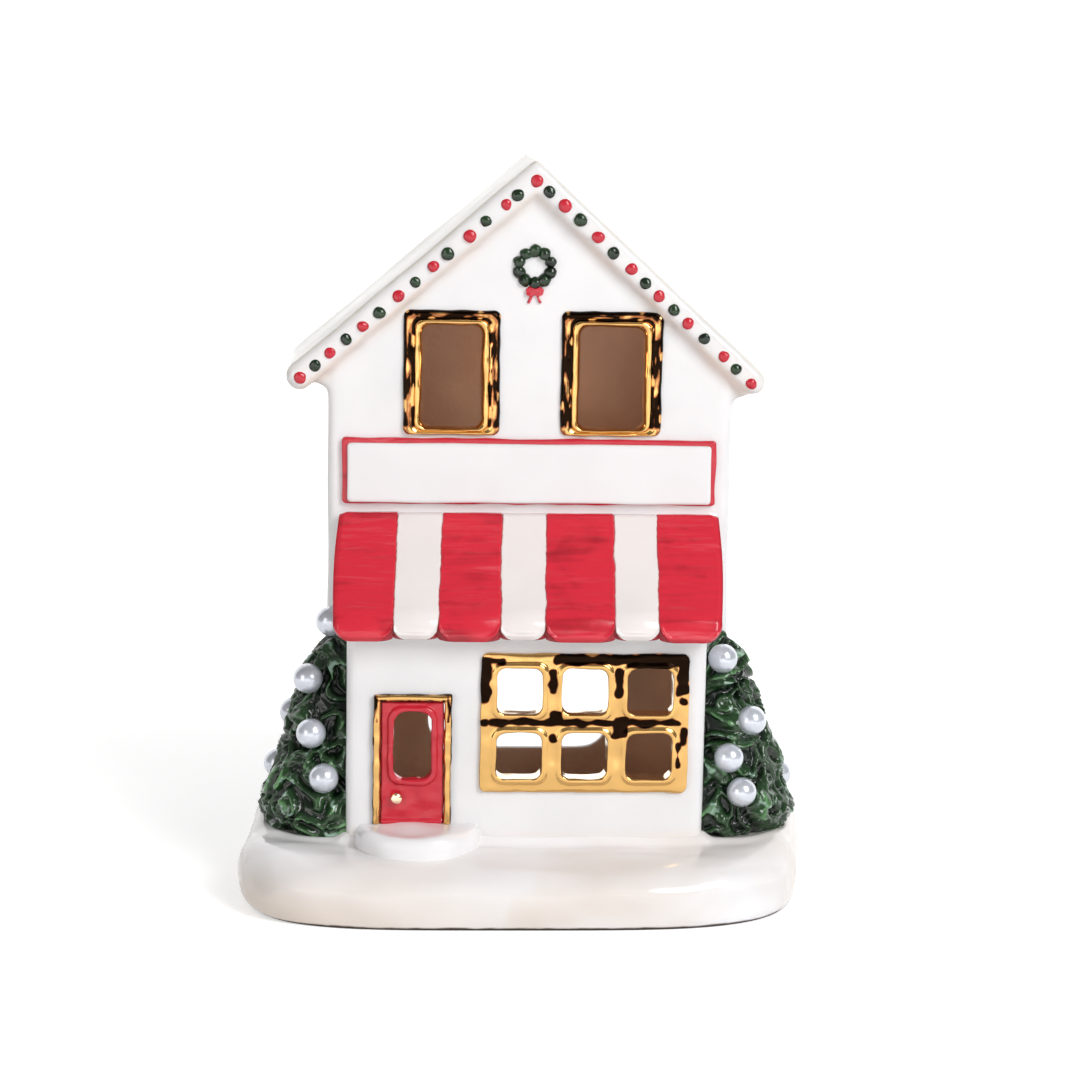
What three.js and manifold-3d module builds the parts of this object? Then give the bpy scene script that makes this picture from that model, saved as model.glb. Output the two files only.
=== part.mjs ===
// A glazed ceramic shop house on a snowy base, open at the back for a tea light.
// Millimetres, +Z up, front towards -Y, origin at the middle of the underside.
import * as THREE from 'three';
import { mergeVertices } from 'three/addons/utils/BufferGeometryUtils.js';
import Module from 'manifold-3d';

const wasm = await Module();
wasm.setup();

// Clearances
const seatGap = 0.3; // between a slanted or curved face and what it lies against
const fitGap = 0.3; // all round a leaf or frame that is set into an opening
const cutReach = 1; // how far a cut runs past the faces it goes through

// Snow base
const baseMargin = 21.55;
const baseDepth = 105;
const baseHeight = 16.4;
const baseSquare = 4.1;
const baseSkew = 0.11;
const rimRound = 8;
const footWidth = 5;
const footRise = 0.8;

// House body, and the shopfront that stands out in front of it
const houseX = -0.2;
const houseY = -1.5;
const bodyWidth = 108.4;
const bodyDepth = 46;
const wallThickness = 4;
const cornerRadius = 2.4;
const shopfrontX = -1.1;
const shopfrontReach = 24;
const shopfrontInset = 6.7;
const shopfrontHeight = 56.4;

// Roof
const ridgeRise = 69.5; // from the sign's top to the middle of the slabs at the ridge
const ridgeX = 0.35;
const roofThickness = 7;
const roofAngleLeft = 40.7;
const roofAngleRight = 42.4;
const eaveLeft = 10.9;
const eaveRight = 8.4;
const roofOverhang = 3;
const roofEdge = 1.2;
const dotRadius = 2.05;
const dotRise = 0.9;
const dotSink = 0.2;
const dotsPerSide = 14;
const ridgeDotDrop = 1.5;

// Door and step
const doorX = -30;
const doorWidth = 16.6;
const doorHeight = 33;
const doorProud = 0.8;
const doorThickness = 3.2;
const doorLightWidth = 10.2;
const doorLightHeight = 18.4;
const doorLightSill = 12;
const doorLightRadius = 2.6;
const doorLipWidth = 1.1;
const doorLipRise = 0.6;
const doorFrameWidth = 1.7;
const doorFrameProud = 1.8;
const knobRadius = 1.55;
const knobHeight = 7.2;
const knobInset = 4.3;
const stepX = -28.5;
const stepRadius = 16.6;
const stepHeight = 5.3;
const stepRound = 2.2;
const stepFoot = 1.2;
const stepTuck = 0.6;

// Shop window
const shopWindowX = 15.25;
const shopWindowSill = 13.9;
const paneWidth = 12.5;
const paneHeight = 12.8;
const paneRadius = 2.2;
const paneColumns = 3;
const paneRows = 2;
const muntinWidth = 4.65;
const shopBandSide = 4.1;
const shopBandEnd = 3.7;
const frameProud = 1.7;
const frameRadius = 1.8;
const frameLap = 2;

// Upper windows
const upperHoleX = 21.3;
const upperHoleHeight = 28;
const leftHoleWidth = 17.1;
const rightHoleWidth = 18.5;
const upperWindowGap = 0.8;
const upperBandSide = 4.4;
const upperBandTop = 3.7;
const upperBandSill = 1.8;
const upperHoleRadius = 2.4;
const upperPlugWall = 1.3;

// Tea-light opening in the rear wall
const teaWidth = 52;
const teaHeight = 41;
const teaSill = 9.2;
const teaRadius = 8;

// Awning, which is also the shopfront's roof
const awningEnd = 3.5;
const awningRise = 29.5;
const awningValance = 6.3;
const awningOverhang = 8;
const awningHead = 2.5;
const awningWall = 4;
const awningSkew = 0.047;
const hemFlare = 0.5;
const stripeThickness = 1.3;
const stripeGap = 0.3;
const stripeShares = [15.9, 11.8, 16.1, 11.7, 18.1, 11.5, 16.9]; // in percent of the width, nearly
const scallopRadius = 4.6;

// Sign
const signX = -0.15;
const signInset = 4.15;
const signHeight = 17.7;
const signGap = 1.2;
const signBackThickness = 1.2;
const signPanelThickness = 1.2;
const signMargin = 1.3;
const signFoot = 0.3;

// Wreath and bow
const wreathDrop = 19.1;
const wreathRadius = 4.43;
const wreathThickness = 1.2;
const wreathDabs = 10;
const bowWidth = 4.95;
const bowHeight = 2.7;
const bowTail = 1.5;
const bowThickness = 1;
const bowGap = 0.1;

// Trees and pearls
const treeInset = 1.6;
const treeY = -2;
const leftTree = { height: 57.5, top: 52, radius: 20.1, taper: 0.62 };
const rightTree = { height: 54.6, top: 53.6, radius: 21.5, taper: 0.72 };
const clumpDepth = 1.2;
const clumpRows = 7;
const clumpsAround = 12;
const pearlRadius = 4;
const pearlStand = 1.2;
// each pearl's turn from the front, in degrees, and its height
const leftPearls = [
  [7, 55.8], [37, 41.2], [134, 27.8], [21, 27.5], [126, 13.2], [6, 16.2], [152, 34], [150, 20], [155, 8],
];
const rightPearls = [
  [-3, 46.8], [34, 30.8], [3, 21.8], [117, 11.2], [13, 13], [145, 31], [150, 20], [152, 8],
];

// Values that follow from the sizes above
const bodyHalf = bodyWidth / 2;
const baseLength = bodyWidth + 2 * baseMargin;
const treeX = bodyHalf - treeInset;
const shopfrontHalf = bodyHalf - shopfrontInset;
const shopfrontInner = shopfrontHalf - wallThickness;
const radians = Math.PI / 180;
const doorTop = stepHeight + doorHeight;
const shopInnerWidth = paneColumns * paneWidth + (paneColumns - 1) * muntinWidth;
const shopInnerHeight = paneRows * paneHeight + (paneRows - 1) * muntinWidth;
const shopWindowWidth = shopInnerWidth + 2 * shopBandSide;
const shopWindowHeight = shopInnerHeight + 2 * shopBandEnd;
const shopCutWidth = shopWindowWidth - 2 * frameLap;
const shopCutHeight = shopWindowHeight - 2 * frameLap;
const shopWindowZ = shopWindowSill + shopWindowHeight / 2;
const awningWidth = 2 * (shopfrontHalf + awningEnd);
const awningTop = shopfrontHeight + awningRise;
const awningFall = (awningRise - awningValance) / (shopfrontReach + awningOverhang - awningHead);
const awningCeiling = awningTop + awningHead * awningFall - awningWall * Math.hypot(1, awningFall);
const signWidth = bodyWidth - 2 * signInset;
const signBottom = awningTop + signGap;
const signTop = signBottom + signHeight;
const upperHoleZ = signTop + upperWindowGap + upperBandSill + upperHoleHeight / 2;
const ridgeHeight = signTop + ridgeRise;
const meanAngle = (roofAngleLeft + roofAngleRight) / 2 * radians;
const ridgeSoffit = ridgeHeight - roofThickness / 2 / Math.cos(meanAngle);
const wreathZ = ridgeSoffit - wreathDrop;

// Materials
const glaze = (color, roughness = 0.15) => new THREE.MeshStandardMaterial({ color, roughness, metalness: 0 });
const whiteGlaze = glaze(0xedeae6);
const redGlaze = glaze(0xcd2d3c);
const greenGlaze = glaze(0x2f5632);
const pearlFinish = glaze(0xe3e6ee, 0.25);
const goldLustre = new THREE.MeshStandardMaterial({ color: 0xd9a95b, roughness: 0.15, metalness: 1 });

// Solids
function toSolid(geometry) {
  geometry.deleteAttribute('normal');
  geometry.deleteAttribute('uv');
  const merged = mergeVertices(geometry, 1e-4);
  const triangles = [];
  for (let i = 0; i < merged.index.count; i += 3) {
    const [a, b, c] = merged.index.array.slice(i, i + 3);
    if (a !== b && b !== c && c !== a) {
      triangles.push(a, b, c);
    }
  }
  const triVerts = new Uint32Array(triangles);
  const vertProperties = new Float32Array(merged.attributes.position.array);
  return new wasm.Manifold(new wasm.Mesh({ numProp: 3, vertProperties, triVerts }));
}

function toGeometry(solid) {
  const mesh = solid.getMesh();
  const geometry = new THREE.BufferGeometry();
  geometry.setAttribute('position', new THREE.BufferAttribute(mesh.vertProperties, 3));
  geometry.setIndex(new THREE.BufferAttribute(mesh.triVerts, 1));
  geometry.computeVertexNormals();
  return geometry;
}

// Offcuts of a cut are left out, and only the largest body stays.
function mainBody(solid) {
  const bodies = solid.decompose();
  bodies.sort((a, b) => b.volume() - a.volume());
  return bodies[0];
}

function box(x0, x1, y0, y1, z0, z1) {
  const geometry = new THREE.BoxGeometry(x1 - x0, y1 - y0, z1 - z0);
  geometry.translate((x0 + x1) / 2, (y0 + y1) / 2, (z0 + z1) / 2);
  return toSolid(geometry);
}

function ellipsoid(x, y, z, rx, ry, rz, around = 10, down = 7) {
  const geometry = new THREE.SphereGeometry(1, around, down);
  geometry.scale(rx, ry, rz);
  geometry.translate(x, y, z);
  return toSolid(geometry);
}

// The same outline as plain points, without the doubles where a line meets an arc
function plainOutline(shape, curveSegments) {
  const single = (points) => points.filter((point, i) => point.distanceTo(points.at(i - 1)) > 1e-3);
  const drawn = shape.extractPoints(curveSegments);
  const outline = new THREE.Shape(single(drawn.shape));
  outline.holes = drawn.holes.map((hole) => new THREE.Path(single(hole)));
  return outline;
}

// A plan outline drawn in x and y, raised from z0 to z1
function raise(shape, z0, z1) {
  const outline = plainOutline(shape, 4);
  const geometry = new THREE.ExtrudeGeometry(outline, { depth: z1 - z0, bevelEnabled: false });
  geometry.translate(0, 0, z0);
  return toSolid(geometry);
}

// A front outline drawn in x and z, running back from y0 to y1, with its edges rounded by bevel
function runBack(shape, y0, y1, bevel = 0, curveSegments = 2) {
  const geometry = new THREE.ExtrudeGeometry(plainOutline(shape, curveSegments), {
    depth: y1 - y0 - 2 * bevel,
    bevelEnabled: bevel > 0,
    bevelThickness: bevel,
    bevelSize: bevel,
    bevelOffset: -bevel,
    bevelSegments: 2,
  });
  const axes = [new THREE.Vector3(1, 0, 0), new THREE.Vector3(0, 0, 1), new THREE.Vector3(0, -1, 0)];
  geometry.applyMatrix4(new THREE.Matrix4().makeBasis(...axes));
  geometry.translate(0, y1 - bevel, 0);
  return toSolid(geometry);
}

// A side outline drawn in y and z, running across from x0 to x1
function runAcross(shape, x0, x1) {
  const geometry = new THREE.ExtrudeGeometry(plainOutline(shape, 8), { depth: x1 - x0, bevelEnabled: false });
  const axes = [new THREE.Vector3(0, 1, 0), new THREE.Vector3(0, 0, 1), new THREE.Vector3(1, 0, 0)];
  geometry.applyMatrix4(new THREE.Matrix4().makeBasis(...axes));
  geometry.translate(x0, 0, 0);
  return toSolid(geometry);
}

function roundedRectangle(x, z, width, height, radius, Outline = THREE.Shape) {
  const left = x - width / 2;
  const right = x + width / 2;
  const low = z - height / 2;
  const high = z + height / 2;
  const outline = new Outline();
  outline.moveTo(left + radius, low);
  outline.lineTo(right - radius, low);
  outline.absarc(right - radius, low + radius, radius, -Math.PI / 2, 0);
  outline.lineTo(right, high - radius);
  outline.absarc(right - radius, high - radius, radius, 0, Math.PI / 2);
  outline.lineTo(left + radius, high);
  outline.absarc(left + radius, high - radius, radius, Math.PI / 2, Math.PI);
  outline.lineTo(left, low + radius);
  outline.absarc(left + radius, low + radius, radius, Math.PI, Math.PI * 1.5);
  return outline;
}

// Snow base: one outline in plan, drawn in by a different amount at each height
function baseOutline(angle, inset) {
  const c = Math.cos(angle);
  const s = Math.sin(angle);
  const x = Math.sign(c) * Math.abs(c) ** (2 / baseSquare) * (baseLength / 2 - inset);
  const y = Math.sign(s) * Math.abs(s) ** (2 / baseSquare) * (baseDepth / 2 - inset);
  return [x + baseSkew * y, y];
}

function stackedRings(rings, outline, segments) {
  const positions = [0, 0, rings[0][1]];
  const index = [];
  for (const [inset, z] of rings) {
    for (let i = 0; i < segments; i++) {
      const [x, y] = outline((i / segments) * 2 * Math.PI, inset, z);
      positions.push(x, y, z);
    }
  }
  const top = positions.length / 3;
  positions.push(0, 0, rings[rings.length - 1][1]);
  for (let i = 0; i < segments; i++) {
    const next = (i + 1) % segments;
    index.push(0, 1 + next, 1 + i);
    for (let k = 0; k < rings.length - 1; k++) {
      const a = 1 + k * segments;
      const b = a + segments;
      index.push(a + i, a + next, b + next);
      index.push(a + i, b + next, b + i);
    }
    const last = 1 + (rings.length - 1) * segments;
    index.push(last + i, last + next, top);
  }
  const geometry = new THREE.BufferGeometry();
  geometry.setAttribute('position', new THREE.Float32BufferAttribute(positions, 3));
  geometry.setIndex(index);
  return toSolid(geometry);
}

function snowBase(grow = 0) {
  const rings = [[footWidth + 3, footRise], [footWidth + 3, 0], [3, 0], [1.2, 2.6], [0, 6.5]];
  const rimStart = baseHeight - rimRound * 0.7;
  const steps = 4;
  for (let i = 0; i <= steps; i++) {
    const turn = (i / steps) * Math.PI / 2;
    const inset = rimRound * (1 - Math.cos(turn));
    rings.push([inset, rimStart + (baseHeight - rimStart) * Math.sin(turn)]);
  }
  const grown = rings.map(([inset, z]) => [inset - grow, z + (z > rimStart ? grow : 0)]);
  return stackedRings(grown, baseOutline, 52);
}

// Walls. A front or rear wall in plan, its two outer corners rounded
function wallPlan(half, face, facing) {
  const back = face - facing * wallThickness;
  const shape = new THREE.Shape();
  shape.moveTo(-half, back);
  shape.lineTo(-half, face - facing * cornerRadius);
  shape.quadraticCurveTo(-half, face, -half + cornerRadius, face);
  shape.lineTo(half - cornerRadius, face);
  shape.quadraticCurveTo(half, face, half, face - facing * cornerRadius);
  shape.lineTo(half, back);
  return shape;
}

// Height of the underside of the roof at x, less the gap to the wall
function soffit(x) {
  const pitch = (x < ridgeX ? roofAngleLeft : roofAngleRight) * radians;
  return ridgeHeight - roofThickness / 2 / Math.cos(pitch) - Math.abs(x - ridgeX) * Math.tan(pitch) - seatGap;
}

function gableOutline(bottom) {
  const shape = new THREE.Shape();
  shape.moveTo(-bodyHalf, bottom);
  shape.lineTo(bodyHalf, bottom);
  shape.lineTo(bodyHalf, soffit(bodyHalf));
  shape.lineTo(ridgeX, soffit(ridgeX));
  shape.lineTo(-bodyHalf, soffit(-bodyHalf));
  return shape;
}

function gableWall(facing, bottom) {
  const face = facing < 0 ? 0 : bodyDepth;
  const plan = raise(wallPlan(bodyHalf, face, facing), bottom, ridgeHeight);
  return plan.intersect(runBack(gableOutline(bottom), -wallThickness, bodyDepth + wallThickness));
}

// The front wall ends at the shopfront's ceiling and stands on a pier at each side.
function frontGable() {
  const wall = gableWall(-1, awningCeiling).subtract(upperWindowCut(-upperHoleX, leftHoleWidth));
  return wall.subtract(upperWindowCut(upperHoleX, rightHoleWidth));
}

function frontPier(side) {
  const inner = shopfrontX + side * shopfrontInner;
  const wall = raise(wallPlan(bodyHalf, 0, -1), 0, awningCeiling);
  const [x0, x1] = [Math.min(inner, side * bodyWidth), Math.max(inner, side * bodyWidth)];
  return wall.intersect(box(x0, x1, -wallThickness, 2 * wallThickness, -cutReach, ridgeHeight));
}

function rearWall() {
  const opening = roundedRectangle(0, teaSill + teaHeight / 2, teaWidth, teaHeight, teaRadius);
  const [front, back] = [bodyDepth - wallThickness - cutReach, bodyDepth + cutReach];
  return gableWall(1, 0).subtract(runBack(opening, front, back));
}

function upperWindowCut(x, width) {
  const cutWidth = width + 2 * (upperPlugWall + fitGap);
  const cutHeight = upperHoleHeight + 2 * (upperPlugWall + fitGap);
  const outline = roundedRectangle(x, upperHoleZ, cutWidth, cutHeight, upperHoleRadius);
  return runBack(outline, -cutReach, wallThickness + cutReach);
}

function sideWall(side) {
  const outer = side * bodyHalf;
  const inner = side * (bodyHalf - wallThickness);
  const shape = new THREE.Shape();
  shape.moveTo(inner, 0);
  shape.lineTo(outer, 0);
  shape.lineTo(outer, soffit(outer));
  shape.lineTo(inner, soffit(inner));
  return runBack(shape, wallThickness, bodyDepth - wallThickness);
}

function shopfrontWall() {
  const wall = raise(wallPlan(shopfrontHalf, 0, -1), 0, shopfrontHeight);
  const windowCut = roundedRectangle(shopWindowX, shopWindowZ, shopCutWidth, shopCutHeight, frameRadius);
  const doorHalf = doorWidth / 2 + fitGap;
  const [back, front] = [wallThickness + cutReach, -cutReach];
  const doorCut = box(doorX - doorHalf, doorX + doorHalf, front, back, stepHeight, doorTop + fitGap);
  return wall.subtract(runBack(windowCut, front, back)).subtract(doorCut);
}

function shopfrontSide(side) {
  const [outer, inner] = [side * shopfrontHalf, side * shopfrontInner];
  const [x0, x1] = [Math.min(outer, inner), Math.max(outer, inner)];
  return box(x0, x1, wallThickness, shopfrontReach, 0, shopfrontHeight);
}

// Roof
function roofEnd(side) {
  const pitch = (side < 0 ? roofAngleLeft : roofAngleRight) * radians;
  const reach = bodyHalf + (side < 0 ? eaveLeft : eaveRight);
  const x = side * (reach - roofThickness / 2);
  return { x, z: ridgeHeight - Math.abs(x - ridgeX) * Math.tan(pitch), pitch };
}

function roofSection() {
  const half = roofThickness / 2;
  const left = roofEnd(-1);
  const right = roofEnd(1);
  const spread = half / (1 + Math.cos(left.pitch + right.pitch));
  const leanX = spread * (Math.sin(right.pitch) - Math.sin(left.pitch));
  const leanZ = spread * (Math.cos(right.pitch) + Math.cos(left.pitch));
  const shape = new THREE.Shape();
  shape.moveTo(ridgeX + leanX, ridgeHeight + leanZ);
  shape.lineTo(left.x - half * Math.sin(left.pitch), left.z + half * Math.cos(left.pitch));
  shape.absarc(left.x, left.z, half, Math.PI / 2 + left.pitch, Math.PI * 1.5 + left.pitch);
  shape.lineTo(ridgeX - leanX, ridgeHeight - leanZ);
  shape.absarc(right.x, right.z, half, Math.PI * 1.5 - right.pitch, Math.PI * 2.5 - right.pitch);
  return shape;
}

function roofDot(x, z) {
  return ellipsoid(x, dotSink - roofOverhang, z, dotRadius, dotRise + dotSink, dotRadius, 8, 4);
}

function wholeRoof() {
  const slabs = runBack(roofSection(), -roofOverhang, bodyDepth + roofOverhang, roofEdge, 4);
  const dots = [roofDot(ridgeX, ridgeHeight - ridgeDotDrop)];
  for (const side of [-1, 1]) {
    const end = roofEnd(side);
    for (let i = 1; i <= dotsPerSide; i++) {
      const along = i / dotsPerSide;
      dots.push(roofDot(ridgeX + (end.x - ridgeX) * along, ridgeHeight + (end.z - ridgeHeight) * along));
    }
  }
  return dots.reduce((roof, dot) => roof.add(dot), slabs);
}

const roof = wholeRoof();

function roofSlab(side) {
  const far = side * (baseLength + bodyWidth);
  const [x0, x1] = [Math.min(ridgeX, far), Math.max(ridgeX, far)];
  return roof.intersect(box(x0, x1, -bodyDepth, 2 * bodyDepth, 0, 2 * ridgeHeight));
}

// Sign
function signBacking() {
  const [x0, x1] = [signX - signWidth / 2, signX + signWidth / 2];
  return box(x0, x1, -signBackThickness, 0, signBottom, signTop);
}

function signPanel() {
  const outline = roundedRectangle(
    signX,
    (signBottom + signFoot + signTop - signMargin) / 2,
    signWidth - 2 * signMargin,
    signHeight - signMargin - signFoot,
    0.6
  );
  return runBack(outline, -signBackThickness - signPanelThickness, -signBackThickness);
}

// Awning: its top and front are drawn in y and z, grown outwards for the stripes' outer face.
function awningCurve(shape, grow) {
  const front = stripeThickness + seatGap - awningOverhang - grow;
  const high = awningTop - stripeThickness - seatGap + grow;
  const knee = shopfrontHeight + awningValance - stripeThickness - seatGap + grow;
  shape.lineTo(shopfrontReach, high);
  shape.lineTo(shopfrontReach - awningHead, high);
  shape.lineTo(front + awningValance / 2, knee + awningFall * awningValance / 2);
  shape.quadraticCurveTo(front, knee, front, knee - awningValance / 2);
  shape.lineTo(front - hemFlare, shopfrontHeight);
}

function awningSlab(grow, halfWidth, low) {
  const shape = new THREE.Shape();
  shape.moveTo(shopfrontReach, low);
  awningCurve(shape, grow);
  shape.lineTo(stripeThickness + seatGap - awningOverhang - grow - hemFlare, low);
  return runAcross(shape, -halfWidth, halfWidth);
}

function skewed(solid) {
  return solid.transform([1, 0, 0, 0, awningSkew, 1, 0, 0, 0, 0, 1, 0, 0, 0, 0, 1]);
}

function awningBody() {
  const low = awningCeiling - awningFall * (shopfrontReach - wallThickness);
  const hollow = new THREE.Shape();
  hollow.moveTo(wallThickness, shopfrontHeight - cutReach);
  hollow.lineTo(shopfrontReach + cutReach, shopfrontHeight - cutReach);
  hollow.lineTo(shopfrontReach + cutReach, awningCeiling);
  hollow.lineTo(shopfrontReach, awningCeiling);
  hollow.lineTo(wallThickness, low);
  const hood = skewed(awningSlab(0, shopfrontHalf, shopfrontHeight));
  return hood.subtract(runAcross(hollow, -shopfrontInner, shopfrontInner));
}

// Left edge of a stripe, counted from the left
function stripeEdge(i) {
  const sum = (shares) => shares.reduce((total, share) => total + share, 0);
  return awningWidth * (sum(stripeShares.slice(0, i)) / sum(stripeShares) - 0.5);
}

function awningStripe(i) {
  const [left, right] = [stripeEdge(i) + stripeGap / 2, stripeEdge(i + 1) - stripeGap / 2];
  const front = new THREE.Shape();
  front.moveTo(left, awningTop);
  front.lineTo(left, shopfrontHeight + scallopRadius);
  front.quadraticCurveTo(left, shopfrontHeight, left + scallopRadius, shopfrontHeight);
  front.lineTo(right - scallopRadius, shopfrontHeight);
  front.quadraticCurveTo(right, shopfrontHeight, right, shopfrontHeight + scallopRadius);
  front.lineTo(right, awningTop);
  const skin = awningSlab(stripeThickness + seatGap, awningWidth, shopfrontHeight);
  const cleared = skin.subtract(awningSlab(seatGap, awningWidth + cutReach, shopfrontHeight - cutReach));
  return skewed(mainBody(cleared.intersect(runBack(front, -2 * awningOverhang, shopfrontReach + cutReach))));
}

// Door
function doorLeaf() {
  const leaf = new THREE.Shape();
  const [x0, x1] = [doorX - doorWidth / 2, doorX + doorWidth / 2];
  leaf.moveTo(x0, stepHeight);
  leaf.lineTo(x1, stepHeight);
  leaf.lineTo(x1, doorTop);
  leaf.lineTo(x0, doorTop);
  const lightZ = stepHeight + doorLightSill + doorLightHeight / 2;
  const light = (grow, Outline) => roundedRectangle(
    doorX,
    lightZ,
    doorLightWidth + 2 * grow,
    doorLightHeight + 2 * grow,
    doorLightRadius + grow,
    Outline
  );
  leaf.holes.push(light(0, THREE.Path));
  const lip = light(doorLipWidth, THREE.Shape);
  lip.holes.push(light(0, THREE.Path));
  const body = runBack(leaf, -doorProud, doorThickness - doorProud);
  return body.add(runBack(lip, -doorProud - doorLipRise, -doorProud + doorLipRise));
}

function doorFrame() {
  const inner = doorWidth / 2 + fitGap;
  const outer = inner + doorFrameWidth;
  const high = doorTop + fitGap;
  const shape = new THREE.Shape();
  shape.moveTo(doorX - outer, stepHeight);
  shape.lineTo(doorX - inner, stepHeight);
  shape.lineTo(doorX - inner, high);
  shape.lineTo(doorX + inner, high);
  shape.lineTo(doorX + inner, stepHeight);
  shape.lineTo(doorX + outer, stepHeight);
  shape.lineTo(doorX + outer, high + doorFrameWidth);
  shape.lineTo(doorX - outer, high + doorFrameWidth);
  return runBack(shape, -doorFrameProud, 0);
}

function doorKnob() {
  const profile = [new THREE.Vector2(0, 0), new THREE.Vector2(knobRadius * 0.9, 0)];
  const steps = 5;
  for (let i = 0; i < steps; i++) {
    const turn = (i / steps) * Math.PI / 2;
    profile.push(new THREE.Vector2(knobRadius * Math.cos(turn), knobRadius * (0.3 + Math.sin(turn))));
  }
  profile.push(new THREE.Vector2(0, knobRadius * 1.3));
  const geometry = new THREE.LatheGeometry(profile, 12);
  geometry.rotateX(Math.PI);
  geometry.translate(doorX - doorWidth / 2 + knobInset, -doorProud, stepHeight + knobHeight);
  return toSolid(geometry);
}

function doorStep() {
  const profile = [new THREE.Vector2(0, 0), new THREE.Vector2(stepRadius - stepTuck, 0)];
  const steps = 4;
  profile.push(new THREE.Vector2(stepRadius, stepFoot));
  for (let i = 0; i <= steps; i++) {
    const turn = (i / steps) * Math.PI / 2;
    const inset = stepRound * (1 - Math.cos(turn));
    profile.push(new THREE.Vector2(stepRadius - inset, stepHeight - stepRound * (1 - Math.sin(turn))));
  }
  profile.push(new THREE.Vector2(0, stepHeight));
  const geometry = new THREE.LatheGeometry(profile, 36);
  geometry.rotateX(Math.PI / 2);
  geometry.translate(stepX, 0, 0);
  return toSolid(geometry).subtract(box(-baseLength, baseLength, 0, baseDepth, -cutReach, baseHeight));
}

// Window frames: a band on the wall's face, and a plug that lines the opening
function shopWindowFrame() {
  const flange = roundedRectangle(shopWindowX, shopWindowZ, shopWindowWidth, shopWindowHeight, frameRadius);
  const plug = roundedRectangle(
    shopWindowX,
    shopWindowZ,
    shopCutWidth - 2 * fitGap,
    shopCutHeight - 2 * fitGap,
    frameRadius
  );
  for (let column = 0; column < paneColumns; column++) {
    for (let row = 0; row < paneRows; row++) {
      const x = shopWindowX + (column - (paneColumns - 1) / 2) * (paneWidth + muntinWidth);
      const z = shopWindowZ + (row - (paneRows - 1) / 2) * (paneHeight + muntinWidth);
      flange.holes.push(roundedRectangle(x, z, paneWidth, paneHeight, paneRadius, THREE.Path));
      plug.holes.push(roundedRectangle(x, z, paneWidth, paneHeight, paneRadius, THREE.Path));
    }
  }
  return runBack(flange, -frameProud, 0).add(runBack(plug, -frameProud / 2, wallThickness));
}

function upperWindowFrame(x, width) {
  const outerHeight = upperHoleHeight + upperBandTop + upperBandSill;
  const outerZ = upperHoleZ + (upperBandTop - upperBandSill) / 2;
  const flange = roundedRectangle(x, outerZ, width + 2 * upperBandSide, outerHeight, frameRadius);
  const plugWidth = width + 2 * upperPlugWall;
  const plugHeight = upperHoleHeight + 2 * upperPlugWall;
  const plug = roundedRectangle(x, upperHoleZ, plugWidth, plugHeight, upperHoleRadius);
  for (const band of [flange, plug]) {
    band.holes.push(roundedRectangle(x, upperHoleZ, width, upperHoleHeight, upperHoleRadius, THREE.Path));
  }
  const frame = runBack(flange, -frameProud, 0).add(runBack(plug, -frameProud / 2, wallThickness));
  return mainBody(frame.intersect(runBack(gableOutline(0), -bodyDepth, bodyDepth)));
}

// Wreath and bow
function wreath() {
  const geometry = new THREE.TorusGeometry(wreathRadius, wreathThickness, 6, 3 * wreathDabs);
  const position = geometry.attributes.position;
  const point = new THREE.Vector3();
  for (let i = 0; i < position.count; i++) {
    point.fromBufferAttribute(position, i);
    const angle = Math.atan2(point.y, point.x);
    const core = new THREE.Vector3(Math.cos(angle), Math.sin(angle), 0).multiplyScalar(wreathRadius);
    point.sub(core).multiplyScalar(1 - 0.18 * (1 + Math.cos(wreathDabs * angle))).add(core);
    position.setXYZ(i, ridgeX + point.x, -wreathThickness / 2 - point.z, wreathZ + point.y);
  }
  return toSolid(geometry).subtract(box(-baseLength, baseLength, 0, baseDepth, 0, 2 * ridgeHeight));
}

function wreathBow() {
  const [w, h] = [bowWidth / 2, bowHeight / 2];
  const z = wreathZ - wreathRadius - wreathThickness - bowGap - h;
  const side = [[0, h * 0.5], [w * 0.7, h], [w, h * 0.6], [w, -h * 0.6], [w * 0.6, -h]];
  const tail = [[w * 0.75, -h - bowTail], [w * 0.3, -h - bowTail], [0, -h * 0.9]];
  const right = [...side, ...tail];
  const left = right.slice(1, -1).reverse().map(([x, y]) => [-x, y]);
  const points = [...right, ...left].map(([x, y]) => new THREE.Vector2(ridgeX + x, z + y));
  return runBack(new THREE.Shape(points), -bowThickness, 0);
}

// Trees
function treeRadius(cone, z) {
  const u = Math.min(z / cone.height, 1);
  const tuck = 0.13 * Math.max(0, 1 - u / 0.1) ** 2;
  return cone.radius * (1 - u) ** cone.taper * (1 - tuck);
}

function clumps(cone, angle, z) {
  const row = z / (cone.height / clumpRows);
  const shift = Math.floor(row) * 2.4;
  const across = Math.abs(Math.cos(angle * clumpsAround / 2 + shift));
  const down = Math.abs(Math.sin(row * Math.PI));
  const fade = Math.min(1, (cone.height - z) / 10);
  return clumpDepth * fade * (across * down - 0.5);
}

function treeBody(side, cone) {
  const rings = [];
  const steps = 16;
  for (let i = 0; i <= steps; i++) {
    rings.push([0, (i / steps) * cone.top]);
  }
  const outline = (angle, inset, z) => {
    const r = treeRadius(cone, z) + clumps(cone, angle, z);
    return [r * Math.cos(angle), r * Math.sin(angle)];
  };
  return stackedRings(rings, outline, 44).translate([side * treeX, treeY, 0]);
}

function pearlPlace(side, cone, [turn, z]) {
  const r = treeRadius(cone, z) + pearlStand;
  return [side * (treeX + r * Math.sin(turn * radians)), treeY - r * Math.cos(turn * radians), z];
}

function pearlBall(centre, grow = 0) {
  const radius = pearlRadius + grow;
  return ellipsoid(...centre, radius, radius, radius);
}

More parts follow.
